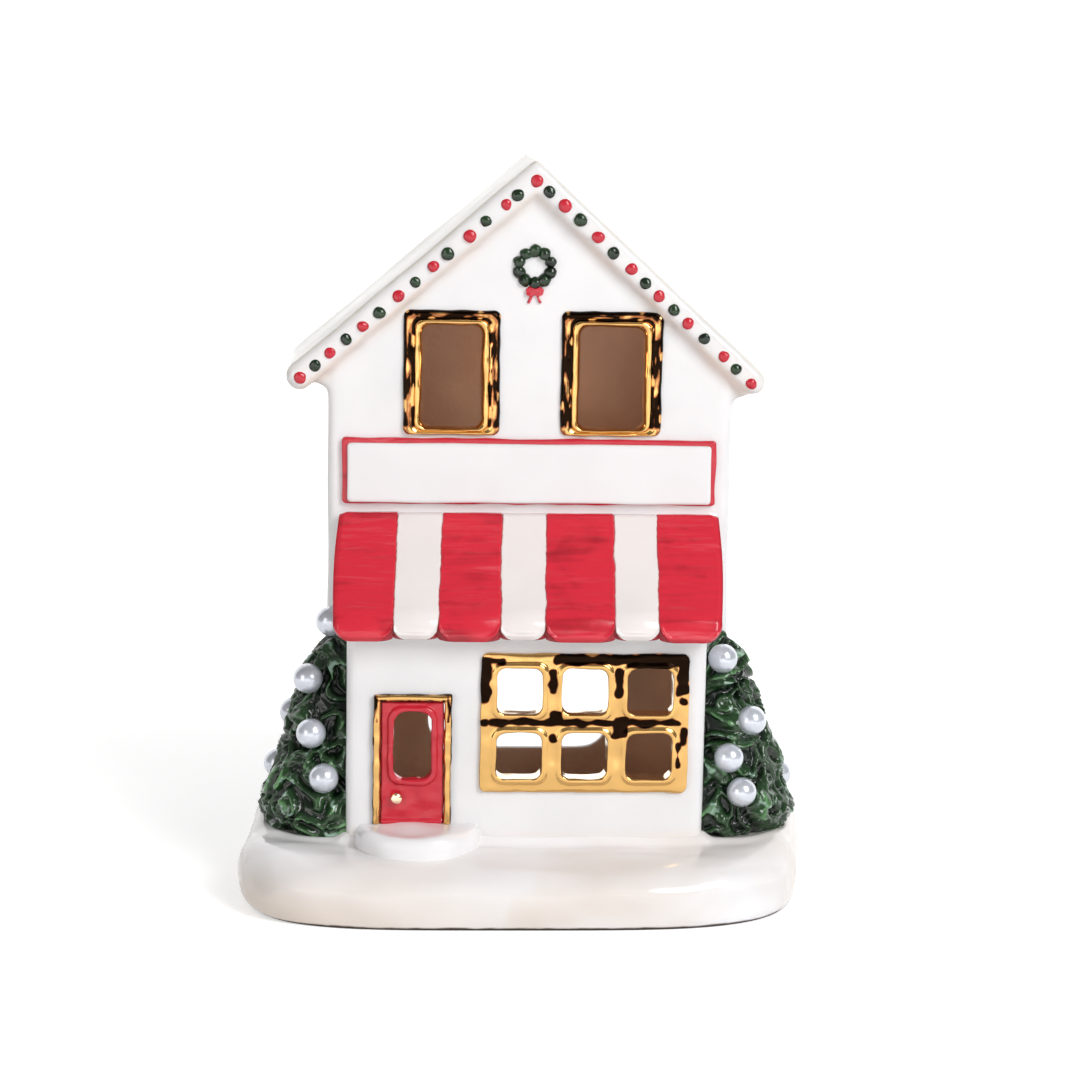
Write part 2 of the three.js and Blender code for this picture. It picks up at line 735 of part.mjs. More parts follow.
// Everything a tree leans against, grown by the gap to it
function treeSurroundings() {
  const bodySide = bodyHalf + seatGap;
  const bodyBlock = box(-bodySide, bodySide, -seatGap, baseDepth, -baseHeight, ridgeHeight);
  const shopSide = shopfrontHalf + seatGap;
  const [left, right] = [shopfrontX - shopSide, shopfrontX + shopSide];
  const shopBlock = box(left, right, -shopfrontReach - seatGap, cutReach, -baseHeight, ridgeHeight);
  const awningEnd = awningWidth / 2 + awningSkew * shopfrontReach + seatGap;
  const awningFront = -shopfrontReach - awningOverhang;
  const awningBlock = box(
    shopfrontX - awningEnd,
    shopfrontX + awningEnd,
    awningFront - cutReach,
    cutReach,
    shopfrontHeight - seatGap,
    ridgeHeight
  );
  const snowBlock = snowBase(seatGap).translate([-houseX, -houseY, -baseHeight]);
  return bodyBlock.add(shopBlock).add(awningBlock).add(snowBlock);
}

const surroundings = treeSurroundings();

function tree(side, cone, pearls) {
  let body = treeBody(side, cone).translate([0, 0, seatGap / 2]).subtract(surroundings);
  for (const pearl of pearls) {
    body = body.subtract(pearlBall(pearlPlace(side, cone, pearl), seatGap));
  }
  return mainBody(body);
}

// Assembly
const figure = new THREE.Group();
const house = new THREE.Group();
house.position.set(houseX, houseY, baseHeight);
figure.add(house);
const shopfront = new THREE.Group();
shopfront.position.set(shopfrontX, -shopfrontReach, 0);
house.add(shopfront);

function place(group, name, solid, material) {
  const mesh = new THREE.Mesh(toGeometry(solid), material);
  mesh.name = name;
  group.add(mesh);
}

place(figure, 'snow_base', snowBase(), whiteGlaze);
place(house, 'front_gable_wall', frontGable(), whiteGlaze);
place(house, 'left_front_pier', frontPier(-1), whiteGlaze);
place(house, 'right_front_pier', frontPier(1), whiteGlaze);
place(house, 'rear_wall', rearWall(), whiteGlaze);
place(house, 'left_side_wall', sideWall(-1), whiteGlaze);
place(house, 'right_side_wall', sideWall(1), whiteGlaze);
place(shopfront, 'shopfront_wall', shopfrontWall(), whiteGlaze);
place(shopfront, 'shopfront_left_side', shopfrontSide(-1), whiteGlaze);
place(shopfront, 'shopfront_right_side', shopfrontSide(1), whiteGlaze);
place(house, 'roof_left', roofSlab(-1), whiteGlaze);
place(house, 'roof_right', roofSlab(1), whiteGlaze);
place(house, 'sign_backing', signBacking(), redGlaze);
place(house, 'sign_panel', signPanel(), whiteGlaze);
place(shopfront, 'awning_body', awningBody(), whiteGlaze);
stripeShares.forEach((share, i) => {
  place(shopfront, `awning_stripe_${i + 1}`, awningStripe(i), i % 2 === 0 ? redGlaze : whiteGlaze);
});
place(shopfront, 'door_step', doorStep(), whiteGlaze);
place(shopfront, 'door_leaf', doorLeaf(), redGlaze);
place(shopfront, 'door_frame', doorFrame(), goldLustre);
place(shopfront, 'door_knob', doorKnob(), goldLustre);
place(shopfront, 'shop_window_frame', shopWindowFrame(), goldLustre);
place(house, 'left_window_frame', upperWindowFrame(-upperHoleX, leftHoleWidth), goldLustre);
place(house, 'right_window_frame', upperWindowFrame(upperHoleX, rightHoleWidth), goldLustre);
place(house, 'wreath', wreath(), greenGlaze);
place(house, 'wreath_bow', wreathBow(), redGlaze);

const trees = [
  { name: 'left', side: -1, cone: leftTree, pearls: leftPearls },
  { name: 'right', side: 1, cone: rightTree, pearls: rightPearls },
];
for (const { name, side, cone, pearls } of trees) {
  place(house, `${name}_tree`, tree(side, cone, pearls), greenGlaze);
  pearls.forEach((pearl, i) => {
    place(house, `${name}_pearl_${i + 1}`, pearlBall(pearlPlace(side, cone, pearl)), pearlFinish);
  });
}

export default figure;
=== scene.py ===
import math

import bmesh
import bpy
from mathutils import Matrix, Vector, noise


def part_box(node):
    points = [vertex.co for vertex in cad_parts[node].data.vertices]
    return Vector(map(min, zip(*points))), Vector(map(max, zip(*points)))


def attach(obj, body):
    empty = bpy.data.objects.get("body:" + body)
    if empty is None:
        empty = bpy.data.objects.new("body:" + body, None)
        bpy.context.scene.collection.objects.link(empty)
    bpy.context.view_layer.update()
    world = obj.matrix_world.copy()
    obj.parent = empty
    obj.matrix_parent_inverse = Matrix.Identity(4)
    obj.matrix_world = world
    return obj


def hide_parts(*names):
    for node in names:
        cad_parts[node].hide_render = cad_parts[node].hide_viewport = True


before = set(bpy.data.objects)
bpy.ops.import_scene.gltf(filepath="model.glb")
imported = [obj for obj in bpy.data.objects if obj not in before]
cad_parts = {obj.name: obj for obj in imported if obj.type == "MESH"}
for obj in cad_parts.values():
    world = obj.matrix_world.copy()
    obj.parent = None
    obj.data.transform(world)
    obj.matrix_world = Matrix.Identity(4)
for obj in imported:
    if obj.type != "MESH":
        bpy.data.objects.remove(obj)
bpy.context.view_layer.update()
scene = bpy.context.scene
mm = 0.001
print("frame loaded:", len(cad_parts), "nodes")


# lengths are in millimetres; the house stands at houseOrigin, the shopfront at shopOrigin
houseOrigin = Vector((-0.2, -1.5, 16.4))
shopOrigin = Vector((-1.3, -25.5, 16.4))
glazeColours = {
    "white": (0.815, 0.808, 0.82),
    "snow": (0.89, 0.885, 0.905),
    "creamPatchAndShade": (0.76, 0.655, 0.565),
    "shade": (0.84, 0.765, 0.70),
    # painted shade for the tops of the roof
    "roofShade": (0.79, 0.75, 0.685),
    "cream": (0.86, 0.805, 0.79),
    "red": (0.68, 0.021, 0.044),
    "deepRed": (0.27, 0.006, 0.014),
    "thinRed": (0.84, 0.15, 0.18),
    "green": (0.016, 0.050, 0.015),
    "paleGreen": (0.14, 0.32, 0.13),
    "glintGreen": (0.30, 0.45, 0.36),
    "darkGreen": (0.003, 0.009, 0.004),
    "gold": (0.70, 0.415, 0.145),
    "goldHighlight": (1.0, 0.84, 0.62),
    "reflectedCopper": (0.34, 0.12, 0.045),
    "reflectedBlack": (0.011, 0.0055, 0.003),
    "clay": (0.82, 0.60, 0.455),
    "darkFootBand": (0.05, 0.035, 0.026),
    "pearl": (0.68, 0.715, 0.79),
    "backdrop": (0.82, 0.82, 0.82),
}


# mesh helpers
def newObject(name, data):
    obj = bpy.data.objects.new(name, data)
    scene.collection.objects.link(obj)
    return obj


def meshFrom(name, points, faces, origin=(0, 0, 0)):
    mesh = bpy.data.meshes.new(name)
    shift = Vector(origin)
    mesh.from_pydata([(Vector(p) + shift) * mm for p in points], [], faces)
    mesh.update()
    return newObject(name, mesh)


def settle(obj):
    # bake the modifiers into the mesh
    depsgraph = bpy.context.evaluated_depsgraph_get()
    mesh = bpy.data.meshes.new_from_object(obj.evaluated_get(depsgraph))
    obj.modifiers.clear()
    old = obj.data
    obj.data = mesh
    bpy.data.meshes.remove(old)
    return obj


def outwards(obj):
    work = bmesh.new()
    work.from_mesh(obj.data)
    bmesh.ops.remove_doubles(work, verts=work.verts, dist=1e-6)
    bmesh.ops.recalc_face_normals(work, faces=work.faces)
    work.to_mesh(obj.data)
    work.free()
    return obj


def gridFaces(stations, rows, loopStations=True, loopRows=False):
    # quads between neighbouring stations of rows points each; a loop joins the last to the first
    faces = []
    for i in range(stations if loopStations else stations - 1):
        a, b = i * rows, (i + 1) % stations * rows
        for k in range(rows if loopRows else rows - 1):
            m = (k + 1) % rows
            faces.append((a + k, b + k, b + m, a + m))
    return faces


def prism(outline, axis, start, end, origin):
    place = {
        "x": lambda u, v, t: (t, u, v),
        "y": lambda u, v, t: (u, t, v),
        "z": lambda u, v, t: (u, v, t),
    }[axis]
    count = len(outline)
    points = [place(u, v, t) for t in (start, end) for u, v in outline]
    faces = [list(range(count)), list(range(2 * count - 1, count - 1, -1))]
    return outwards(meshFrom("solid", points, faces + gridFaces(2, count, False, True), origin))


def block(x0, x1, y0, y1, z0, z1, origin):
    return prism([(x0, z0), (x1, z0), (x1, z1), (x0, z1)], "y", y0, y1, origin)


def cornerArcs(x0, x1, z0, z1, radius, steps):
    corners = ((x1 - radius, z0 + radius, -90), (x1 - radius, z1 - radius, 0))
    corners += ((x0 + radius, z1 - radius, 90), (x0 + radius, z0 + radius, 180))
    arcs = []
    for x, z, turn in corners:
        turns = [math.radians(turn + 90 * i / steps) for i in range(steps + 1)]
        arcs.append([(x + radius * math.cos(t), z + radius * math.sin(t)) for t in turns])
    return arcs


def roundedRect(x0, x1, z0, z1, radius):
    return sum(cornerArcs(x0, x1, z0, z1, radius, 6), [])


def plate(x0, x1, z0, z1, corner, y0, y1, origin):
    return prism(roundedRect(x0, x1, z0, z1, corner), "y", y0, y1, origin)


def ringPoints(x0, x1, z0, z1, radius, along=26):
    # a rounded rectangle with points on its straight sides too, as many at every size
    arcs = cornerArcs(x0, x1, z0, z1, radius, 8)
    points = []
    for arc, following in zip(arcs, arcs[1:] + arcs[:1]):
        points += arc
        for k in range(1, along):
            points.append(tuple(a + (b - a) * k / along for a, b in zip(arc[-1], following[0])))
    return points


def loft(name, inner, outer, profile, origin):
    # a closed moulding between two rings; profile holds (share from inner to outer, y)
    points = []
    for (x0, z0), (x1, z1) in zip(inner, outer):
        points += [(x0 + (x1 - x0) * share, y, z0 + (z1 - z0) * share) for share, y in profile]
    shares = [share for share, y in profile] * len(inner)
    return outwards(meshFrom(name, points, gridFaces(len(inner), len(profile), True, True), origin)), shares


def paint(obj, label, values):
    layer = obj.data.attributes.new(label, "FLOAT", "POINT")
    layer.data.foreach_set("value", values)


def paintBy(obj, label, origin, rule):
    # rule gives the value at a spot measured from the origin
    paint(obj, label, [rule(vertex.co / mm - origin) for vertex in obj.data.vertices])


def carve(solids, cutters, operation="DIFFERENCE"):
    for solid in solids:
        for cutter in cutters:
            cut = solid.modifiers.new("carve", "BOOLEAN")
            cut.solver = "EXACT"
            cut.operation = operation
            cut.object = cutter
            settle(solid)
    for cutter in cutters:
        mesh = cutter.data
        bpy.data.objects.remove(cutter)
        bpy.data.meshes.remove(mesh)


def fuse(name, solids, voxel, smoothing):
    # one soft-edged body of overlapping solids, as clay joined with slip
    with bpy.context.temp_override(active_object=solids[0], selected_editable_objects=solids):
        bpy.ops.object.join()
    obj = solids[0]
    obj.name = name
    remesh = obj.modifiers.new("fuse", "REMESH")
    remesh.mode = "VOXEL"
    remesh.voxel_size = voxel * mm
    soften = obj.modifiers.new("soften", "SMOOTH")
    soften.factor = 0.5
    soften.iterations = smoothing
    settle(obj)
    obj.data.name = name
    return obj


def smooth(value):
    value = min(1, max(0, value))
    return value * value * (3 - 2 * value)


def noiseAt(x, y, z):
    return noise.noise(Vector((x, y, z)))


def wobble(obj, amount, size, seed=0.0):
    # hand-made unevenness along the normals
    offset = Vector((seed, seed * 1.7, -seed))
    normals = [vertex.normal.copy() for vertex in obj.data.vertices]
    for vertex, normal in zip(obj.data.vertices, normals):
        shift = noise.noise(vertex.co / (size * mm) + offset)
        vertex.co += normal * shift * amount * mm
    obj.data.update()
    return obj


def finishPiece(obj, materials, nodes):
    obj.data.materials.clear()
    for material in materials:
        obj.data.materials.append(material)
    for face in obj.data.polygons:
        face.use_smooth = True
    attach(obj, "root")
    if nodes:
        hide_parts(*nodes)
    print("piece:", obj.name, len(obj.data.polygons), "faces")
    return obj


# node helpers
socketKinds = {float: "Float", int: "Int", tuple: "Vector", type(None): "Geometry"}


def addNode(tree, kind, inputs=None, **settings):
    # inputs holds a value or a socket for each input, by name or number
    node = tree.nodes.new(kind)
    for label, value in settings.items():
        setattr(node, label, value)
    for label, value in (inputs or {}).items():
        if isinstance(value, bpy.types.NodeSocket):
            tree.links.new(value, node.inputs[label])
        else:
            node.inputs[label].default_value = value
    return node


def makeGroup(kind, name, inputs, outputs):
    # the type of each value gives its socket, None stands for geometry
    group = bpy.data.node_groups.new(name, kind)
    for way, values in (("INPUT", inputs), ("OUTPUT", outputs)):
        for label, value in values.items():
            socketType = "NodeSocket" + socketKinds[type(value)]
            socket = group.interface.new_socket(label, in_out=way, socket_type=socketType)
            if value is not None:
                socket.default_value = value
    return group, group.nodes.new("NodeGroupInput").outputs


def makeGlazeGroup():
    # slow waves and fine pits of a fired glaze
    inputs = {"Vector": (0, 0, 0), "Wave Scale": 60.0, "Pit Scale": 900.0, "Pit Share": 0.12}
    group, start = makeGroup("ShaderNodeTree", "glazeSurface", inputs, {"Waves": 0.0, "Height": 0.0})
    textures = []
    for scale, detail in (("Wave Scale", 3.0), ("Pit Scale", 2.0)):
        values = {"Vector": start["Vector"], "Scale": start[scale], "Detail": detail}
        textures.append(addNode(group, "ShaderNodeTexNoise", values).outputs["Fac"])
    mix = addNode(group, "ShaderNodeMix", {"Factor": start["Pit Share"], 2: textures[0], 3: textures[1]})
    addNode(group, "NodeGroupOutput", {"Waves": textures[0], "Height": mix.outputs[0]})
    return group


def makeStrokeGroup():
    # brush strokes that run along X
    inputs = {"Vector": (0, 0, 0), "Length": 40.0, "Across": 420.0}
    group, start = makeGroup("ShaderNodeTree", "brushStrokes", inputs, {"Streaks": 0.0})
    stretch = {"X": start["Length"], "Y": start["Across"], "Z": start["Across"]}
    stretched = addNode(group, "ShaderNodeCombineXYZ", stretch).outputs[0]
    scaled = addNode(group, "ShaderNodeVectorMath", {0: start["Vector"], 1: stretched}, operation="MULTIPLY")
    values = {"Vector": scaled.outputs[0], "Scale": 1.0, "Detail": 3.0, "Distortion": 0.4}
    streaks = addNode(group, "ShaderNodeTexNoise", values)
    addNode(group, "NodeGroupOutput", {"Streaks": streaks.outputs["Fac"]})
    return group


glazeGroup = makeGlazeGroup()
strokeGroup = makeStrokeGroup()


def dimmed(name, share=1.0):
    return (*(share * part for part in glazeColours[name]), 1)


class Finish:
    # a material with its Principled shader, built one node at a time
    def __init__(self, name, roughness, metallic=0.0, coat=0.0):
        self.material = bpy.data.materials.new(name)
        self.material.use_nodes = True
        self.tree = self.material.node_tree
        self.shader = self.tree.nodes["Principled BSDF"].inputs
        values = {"Roughness": roughness, "Metallic": metallic, "Coat Weight": coat, "Coat Roughness": 0.04}
        for label, value in values.items():
            self.shader[label].default_value = value
        self.place = self.node("ShaderNodeTexCoord").outputs["Object"]

    def node(self, kind, inputs=None, **settings):
        return addNode(self.tree, kind, inputs, **settings)

    def surface(self, wave, pit, share):
        values = {"Vector": self.place, "Wave Scale": wave, "Pit Scale": pit, "Pit Share": share}
        outputs = self.node("ShaderNodeGroup", values, node_tree=glazeGroup).outputs
        return outputs["Waves"], outputs["Height"]

    def strokes(self, length, across):
        values = {"Vector": self.place, "Length": length, "Across": across}
        return self.node("ShaderNodeGroup", values, node_tree=strokeGroup).outputs["Streaks"]

    def noise(self, scale, detail=2.0, distortion=0.0):
        values = {"Vector": self.place, "Scale": scale, "Detail": detail, "Distortion": distortion}
        return self.node("ShaderNodeTexNoise", values).outputs["Fac"]

    def painted(self, label):
        return self.node("ShaderNodeAttribute", attribute_name=label).outputs["Fac"]

    def ramp(self, source, low, high):
        values = {"Value": source, "From Min": low, "From Max": high}
        return self.node("ShaderNodeMapRange", values, interpolation_type="SMOOTHSTEP").outputs["Result"]

    def combine(self, operation, first, second):
        return self.node("ShaderNodeMath", {0: first, 1: second}, operation=operation).outputs["Value"]

    def times(self, first, second):
        return self.combine("MULTIPLY", first, second)

    def axis(self, letter):
        return self.node("ShaderNodeSeparateXYZ", {"Vector": self.place}).outputs[letter]

    def blend(self, mask, first, second):
        # a colour is a name in glazeColours, four numbers or a socket
        first, second = (dimmed(value) if isinstance(value, str) else value for value in (first, second))
        return self.node("ShaderNodeMix", {"Factor": mask, 6: first, 7: second}, data_type="RGBA").outputs[2]

    def colour(self, source):
        self.tree.links.new(source, self.shader["Base Color"])

    def roughness(self, mask, low, high):
        spread = self.node("ShaderNodeMapRange", {"Value": mask, "To Min": low, "To Max": high})
        self.tree.links.new(spread.outputs["Result"], self.shader["Roughness"])

    def bump(self, height, distance):
        bumps = self.node("ShaderNodeBump", {"Height": height, "Distance": distance * mm, "Strength": 1.0})
        self.tree.links.new(bumps.outputs["Normal"], self.shader["Normal"])


def makeWhiteGlaze(name, wave=45.0, distance=0.35, colour="white", behind="roofShade", gloss=0.5):
    # painted shade: one attribute warms the white under the eaves, under the hood and at the foot of the walls;
    # the other darkens the roof tops, or shows the deep red behind a scallop darkened as painted shade
    finish = Finish(name, 0.10)
    waves, height = finish.surface(wave, 700.0, 0.06)
    plain = finish.blend(finish.ramp(waves, 0.35, 0.75), colour, dimmed(colour, 0.95))
    shaded = finish.blend(finish.ramp(finish.painted("warm"), 0.0, 1.0), plain, "shade")
    finish.colour(finish.blend(finish.ramp(finish.painted("shadeMask"), 0.35, 0.65), shaded, behind))
    finish.shader["Specular IOR Level"].default_value = gloss
    finish.roughness(waves, 0.07, 0.16)
    finish.bump(height, distance)
    return finish.material


def makeSnowGlaze():
    # white glaze, cream where it thins in patches, with painted cream shade on the left and low down, and a dark
    # foot band
    finish = Finish("snowGlaze", 0.14)
    cloud = finish.noise(19.0, 3.0, 0.4)
    height = finish.axis("Z")
    warm = finish.times(finish.ramp(cloud, 0.38, 0.72), 0.85)
    # painted shade: the left side turns cream
    leftShade = finish.times(finish.ramp(finish.axis("X"), 0.045, -0.085), 0.9)
    tinted = finish.blend(finish.combine("MAXIMUM", warm, leftShade), "snow", "creamPatchAndShade")
    # painted shade: cream towards the bottom
    soft = finish.blend(finish.ramp(height, 0.020, 0.002), "snow", tinted)
    mixed = finish.blend(finish.times(finish.ramp(cloud, 0.3, 0.6), 0.5), soft, tinted)
    # a nearly black, rough band along the bottom edge
    edge = finish.combine("ADD", height, finish.times(finish.noise(160.0), -0.0008))
    foot = finish.ramp(edge, 0.0007, 0.0002)
    finish.colour(finish.blend(foot, mixed, "darkFootBand"))
    finish.roughness(foot, 0.14, 0.8)
    finish.bump(finish.surface(26.0, 500.0, 0.04)[1], 1.0)
    return finish.material


def makeRedGlaze(name, length, across, distance, pool):
    # red brushed on thickly: dark where it pools, pale where a stroke runs thin
    finish = Finish(name, 0.14)
    streaks = finish.strokes(length, across)
    depth = finish.ramp(finish.times(streaks, finish.noise(80.0, 3.0, 0.5)), 0.22, 0.46)
    pooled = finish.blend(finish.combine("MAXIMUM", finish.times(depth, 0.7), pool), "red", "deepRed")
    brushed = finish.blend(finish.times(finish.ramp(streaks, 0.38, 0.22), 0.35), pooled, "thinRed")
    # painted shade: deep red behind the scallops, along the stripes' top and side edges and round the door leaf
    shadeMask = finish.times(finish.ramp(finish.painted("shadeMask"), 0.15, 0.85), 0.85)
    finish.colour(finish.blend(shadeMask, brushed, "deepRed"))
    finish.roughness(streaks, 0.06, 0.30)
    finish.bump(streaks, distance)
    return finish.material


def makeGreenGlaze(name, relief=False):
    # glaze that is thin and bright on the ridges and pools black in the hollows
    finish = Finish(name, 0.08)
    waves, height = finish.surface(230.0, 900.0, 0.1)
    if relief:
        ridge = finish.combine("ADD", finish.painted("relief"), finish.times(waves, 0.3))
        body = finish.blend(finish.ramp(ridge, 0.30, 0.80), "darkGreen", "green")
        ridged = finish.blend(finish.ramp(ridge, 0.90, 1.12), body, "paleGreen")
        # pale spots on the ridges: painted glints, and partly glaze breaking over them
        glints = finish.ramp(finish.noise(330.0, 2.0, 0.6), 0.56, 0.66)
        glintSpots = finish.times(glints, finish.ramp(ridge, 0.72, 0.98))
        finish.colour(finish.blend(glintSpots, ridged, "glintGreen"))
    else:
        finish.colour(finish.blend(finish.ramp(waves, 0.36, 0.66), "darkGreen", dimmed("green", 0.85)))
    finish.roughness(waves, 0.04, 0.12)
    finish.bump(height, 0.4)
    return finish.material


def makeGoldLustre():
    # gold lustre with painted reflections: copper-brown and nearly black patches, and a pale painted highlight
    finish = Finish("goldLustre", 0.12, metallic=1.0)
    fine = finish.noise(420.0, 3.0, 0.8)
    shake = finish.times(finish.combine("SUBTRACT", fine, 0.5), 0.2)
    paintedReflection = finish.combine("ADD", finish.painted("paintedReflection"), shake)
    lining = finish.blend(finish.ramp(paintedReflection, -0.2, -0.6), "gold", "goldHighlight")
    bright = finish.blend(finish.ramp(paintedReflection, 0.38, 0.56), lining, "reflectedCopper")
    finish.colour(finish.blend(finish.ramp(paintedReflection, 0.60, 0.72), bright, "reflectedBlack"))
    finish.roughness(fine, 0.09, 0.20)
    finish.bump(finish.noise(170.0, 1.0), 0.4)
    return finish.material


def makePearlCoat():
    finish = Finish("pearlCoat", 0.24, metallic=0.45, coat=1.0)
    cloud = finish.noise(150.0, 3.0, 0.6)
    finish.colour(finish.blend(finish.ramp(cloud, 0.35, 0.7), "pearl", dimmed("pearl", 0.86)))
    finish.roughness(cloud, 0.2, 0.3)
    finish.bump(cloud, 0.05)
    return finish.material


def makeInnerClay():
    finish = Finish("innerClay", 0.45)
    cloud = finish.noise(35.0, 3.0, 0.3)
    finish.colour(finish.blend(finish.ramp(cloud, 0.3, 0.7), "clay", dimmed("clay", 0.75)))
    finish.bump(finish.noise(400.0, 3.0), 0.2)
    return finish.material


whiteGlaze = makeWhiteGlaze("whiteGlaze")
signGlaze = makeWhiteGlaze("signGlaze", 30.0, 0.12)
# the roof tops: a duller glaze that takes the darker painted shade
slopeGlaze = makeWhiteGlaze("slopeGlaze", gloss=0.018)
# the step takes the brighter snow white, a painted lift against the awning's shade and red bounce on it
stepGlaze = makeWhiteGlaze("stepGlaze", colour="snow")
# the white stripes show the red body behind their scallops, darkened as painted shade
stripeGlaze = makeWhiteGlaze("stripeGlaze", 40.0, 0.25, "cream", "deepRed")
snowGlaze = makeSnowGlaze()
awningRed = makeRedGlaze("awningRed", 30.0, 300.0, 0.32, 0.0)
redGlaze = makeRedGlaze("redGlaze", 120.0, 260.0, 0.2, 0.28)
greenGlaze = makeGreenGlaze("greenGlaze")
treeGlaze = makeGreenGlaze("treeGlaze", relief=True)
goldLustre = makeGoldLustre()
pearlCoat = makePearlCoat()
innerClay = makeInnerClay()
print("materials made")


# house shell: walls, roof, shopfront and awning hood fused as one fired body
shell = {
    "width": 108.4,
    "depth": 46.0,
    "wall": 4.0,
    "corner": 2.4,
    "ridgeX": 0.35,
    "ridge": 174.3,
    "slab": 7.0,
    "pitchLeft": 40.7,
    "pitchRight": 42.4,
    "reachLeft": 65.1,
    "reachRight": 62.6,
    "overhang": 3.0,
    "cove": 4.5,
    "shopHalf": 47.5,
    "shopReach": 24.0,
    "shopHeight": 56.4,
    "ceiling": 82.8,
    "ceilingFall": 15.72,
    "fascia": 1.1,
    "fasciaInset": 0.9,
    "rearOpening": (-26, 26, 9.2, 50.2, 8),
    "shopOpening": (-10.35, 40.85, 15.9, 49.45, 1.8),
    "doorOpening": ((-38.6, -21.4), (5.3, 38.6)),
    "voxel": 1.1,
    "wobble": (0.4, 26),
    "clayMargin": 0.6,
}
upperWindows = {
    "left": {"x": -21.3, "width": 17.1},
    "right": {"x": 21.3, "width": 18.5},
}
upperHole = {"low": 107.4, "high": 135.4, "radius": 2.4, "side": 4.4, "top": 3.7, "sill": 1.8, "plug": 1.3}
awning = {
    "half": 51.0,
    "rise": 29.5,
    "valance": 6.3,
    "overhang": 8.0,
    "head": 2.5,
    "skin": 1.6,
    "flare": 0.5,
    "skew": 0.047,
    "shares": (15.9, 11.8, 16.1, 11.7, 18.1, 11.5, 16.9),
    "scallop": 4.9,
    "hemDrop": 0.7,
    "hoodInset": (0.5, 1.2),
}


def roofPitch(side):
    return math.radians(shell["pitchLeft"] if side < 0 else shell["pitchRight"])


def roofLine(x, drop):
    # height of the roof's middle at x, moved down square to the slope by drop
    pitch = roofPitch(x - shell["ridgeX"])
    return shell["ridge"] - drop / math.cos(pitch) - abs(x - shell["ridgeX"]) * math.tan(pitch)


def roofOutline(inset=0.0):
    half = shell["slab"] / 2 - inset
    ends = []
    for side, reach in ((1, shell["reachRight"]), (-1, shell["reachLeft"])):
        x = side * (reach - shell["slab"] / 2)
        z = roofLine(x, 0)
        turns = [math.pi / 2 - math.pi * i / 12 - roofPitch(side) for i in range(13)]
        ends.append([(x + side * half * math.cos(t), z + half * math.sin(t)) for t in turns])
    peak, inside = ((shell["ridgeX"], roofLine(shell["ridgeX"], drop)) for drop in (-half, half))
    return [peak] + ends[0] + [inside] + ends[1][::-1]


def gableOutline(half, foot):
    return [(-half, foot), (half, foot)] + [(x, roofLine(x, 1)) for x in (half, shell["ridgeX"], -half)]


def awningProfile(swell, drop=0.0):
    # side view of the awning's top, from the house wall down to the hem
    reach = shell["shopReach"]
    fall = (awning["rise"] - awning["valance"]) / (reach + awning["overhang"] - awning["head"])
    front = awning["skin"] - awning["overhang"] - swell
    top = shell["shopHeight"] + awning["rise"] - awning["skin"] + swell
    knee = shell["shopHeight"] + awning["valance"] - awning["skin"] + swell
    bend = awning["valance"] / 2
    curve = ((front + bend, knee + fall * bend), (front, knee), (front, knee - bend))
    points = [(reach, top), (reach - awning["head"], top)]
    for i in range(9):
        t = i / 8
        points.append(tuple((1 - t) ** 2 * a + 2 * t * (1 - t) * b + t * t * c for a, b, c in zip(*curve)))
    return points + [(front - awning["flare"], shell["shopHeight"] - drop)]


def shadeWarmth(place):
    # painted shade: how warm the white looks under the eaves, under the awning's hood and at the foot of the walls
    spot, low = place - houseOrigin, place - shopOrigin
    under = roofLine(spot.x, shell["slab"] / 2) - spot.z
    eaves = math.exp(-(max(0, under) / 3.2) ** 1.4) if under > -1.5 else 0.3
    foot = math.exp(-(max(0, spot.z) / 3.0) ** 1.5)
    hood = math.exp(-((shell["shopHeight"] - low.z) / 4.0) ** 2) if 0.5 < low.y < 23 else 0.0
    patch = 0.5 + noise.noise(place / 16)
    return min(1, (0.95 * eaves + 0.8 * foot + 0.6 * hood) * (0.5 + 0.6 * patch))


def slopeShare(spot):
    # 1 on top of the roof, behind its front edge, where the roof is painted a darker shade
    above = spot.z - roofLine(spot.x, 1.6 - shell["slab"] / 2)
    behind = smooth((spot.y + shell["overhang"] - 0.5) / 0.9)
    return behind * smooth(0.5 + above / 1.2) if above > -1 else 0.0


def makeHouseBody(half, inner, shopInner):
    depth, wall = shell["depth"], shell["wall"]
    body = prism(gableOutline(half, -3), "y", 0, depth, houseOrigin)
    plan = roundedRect(-half, half, 0, depth, shell["corner"])
    carve([body], [prism(plan, "z", -4, 200, houseOrigin)], "INTERSECT")
    cuts = [prism(gableOutline(inner, -5), "y", wall, depth - wall, houseOrigin)]
    plug = upperHole["plug"]
    for window in upperWindows.values():
        edge = window["width"] / 2 + plug
        sides = (window["x"] - edge, window["x"] + edge, upperHole["low"] - plug, upperHole["high"] + plug)
        cuts.append(plate(*sides, upperHole["radius"], -2, wall + 2, houseOrigin))
    cuts.append(plate(*shell["rearOpening"], depth - wall - 2, depth + 2, houseOrigin))
    cuts.append(block(-shopInner, shopInner, 20, 29, -5, shell["ceiling"], shopOrigin))
    carve([body], cuts)
    return body


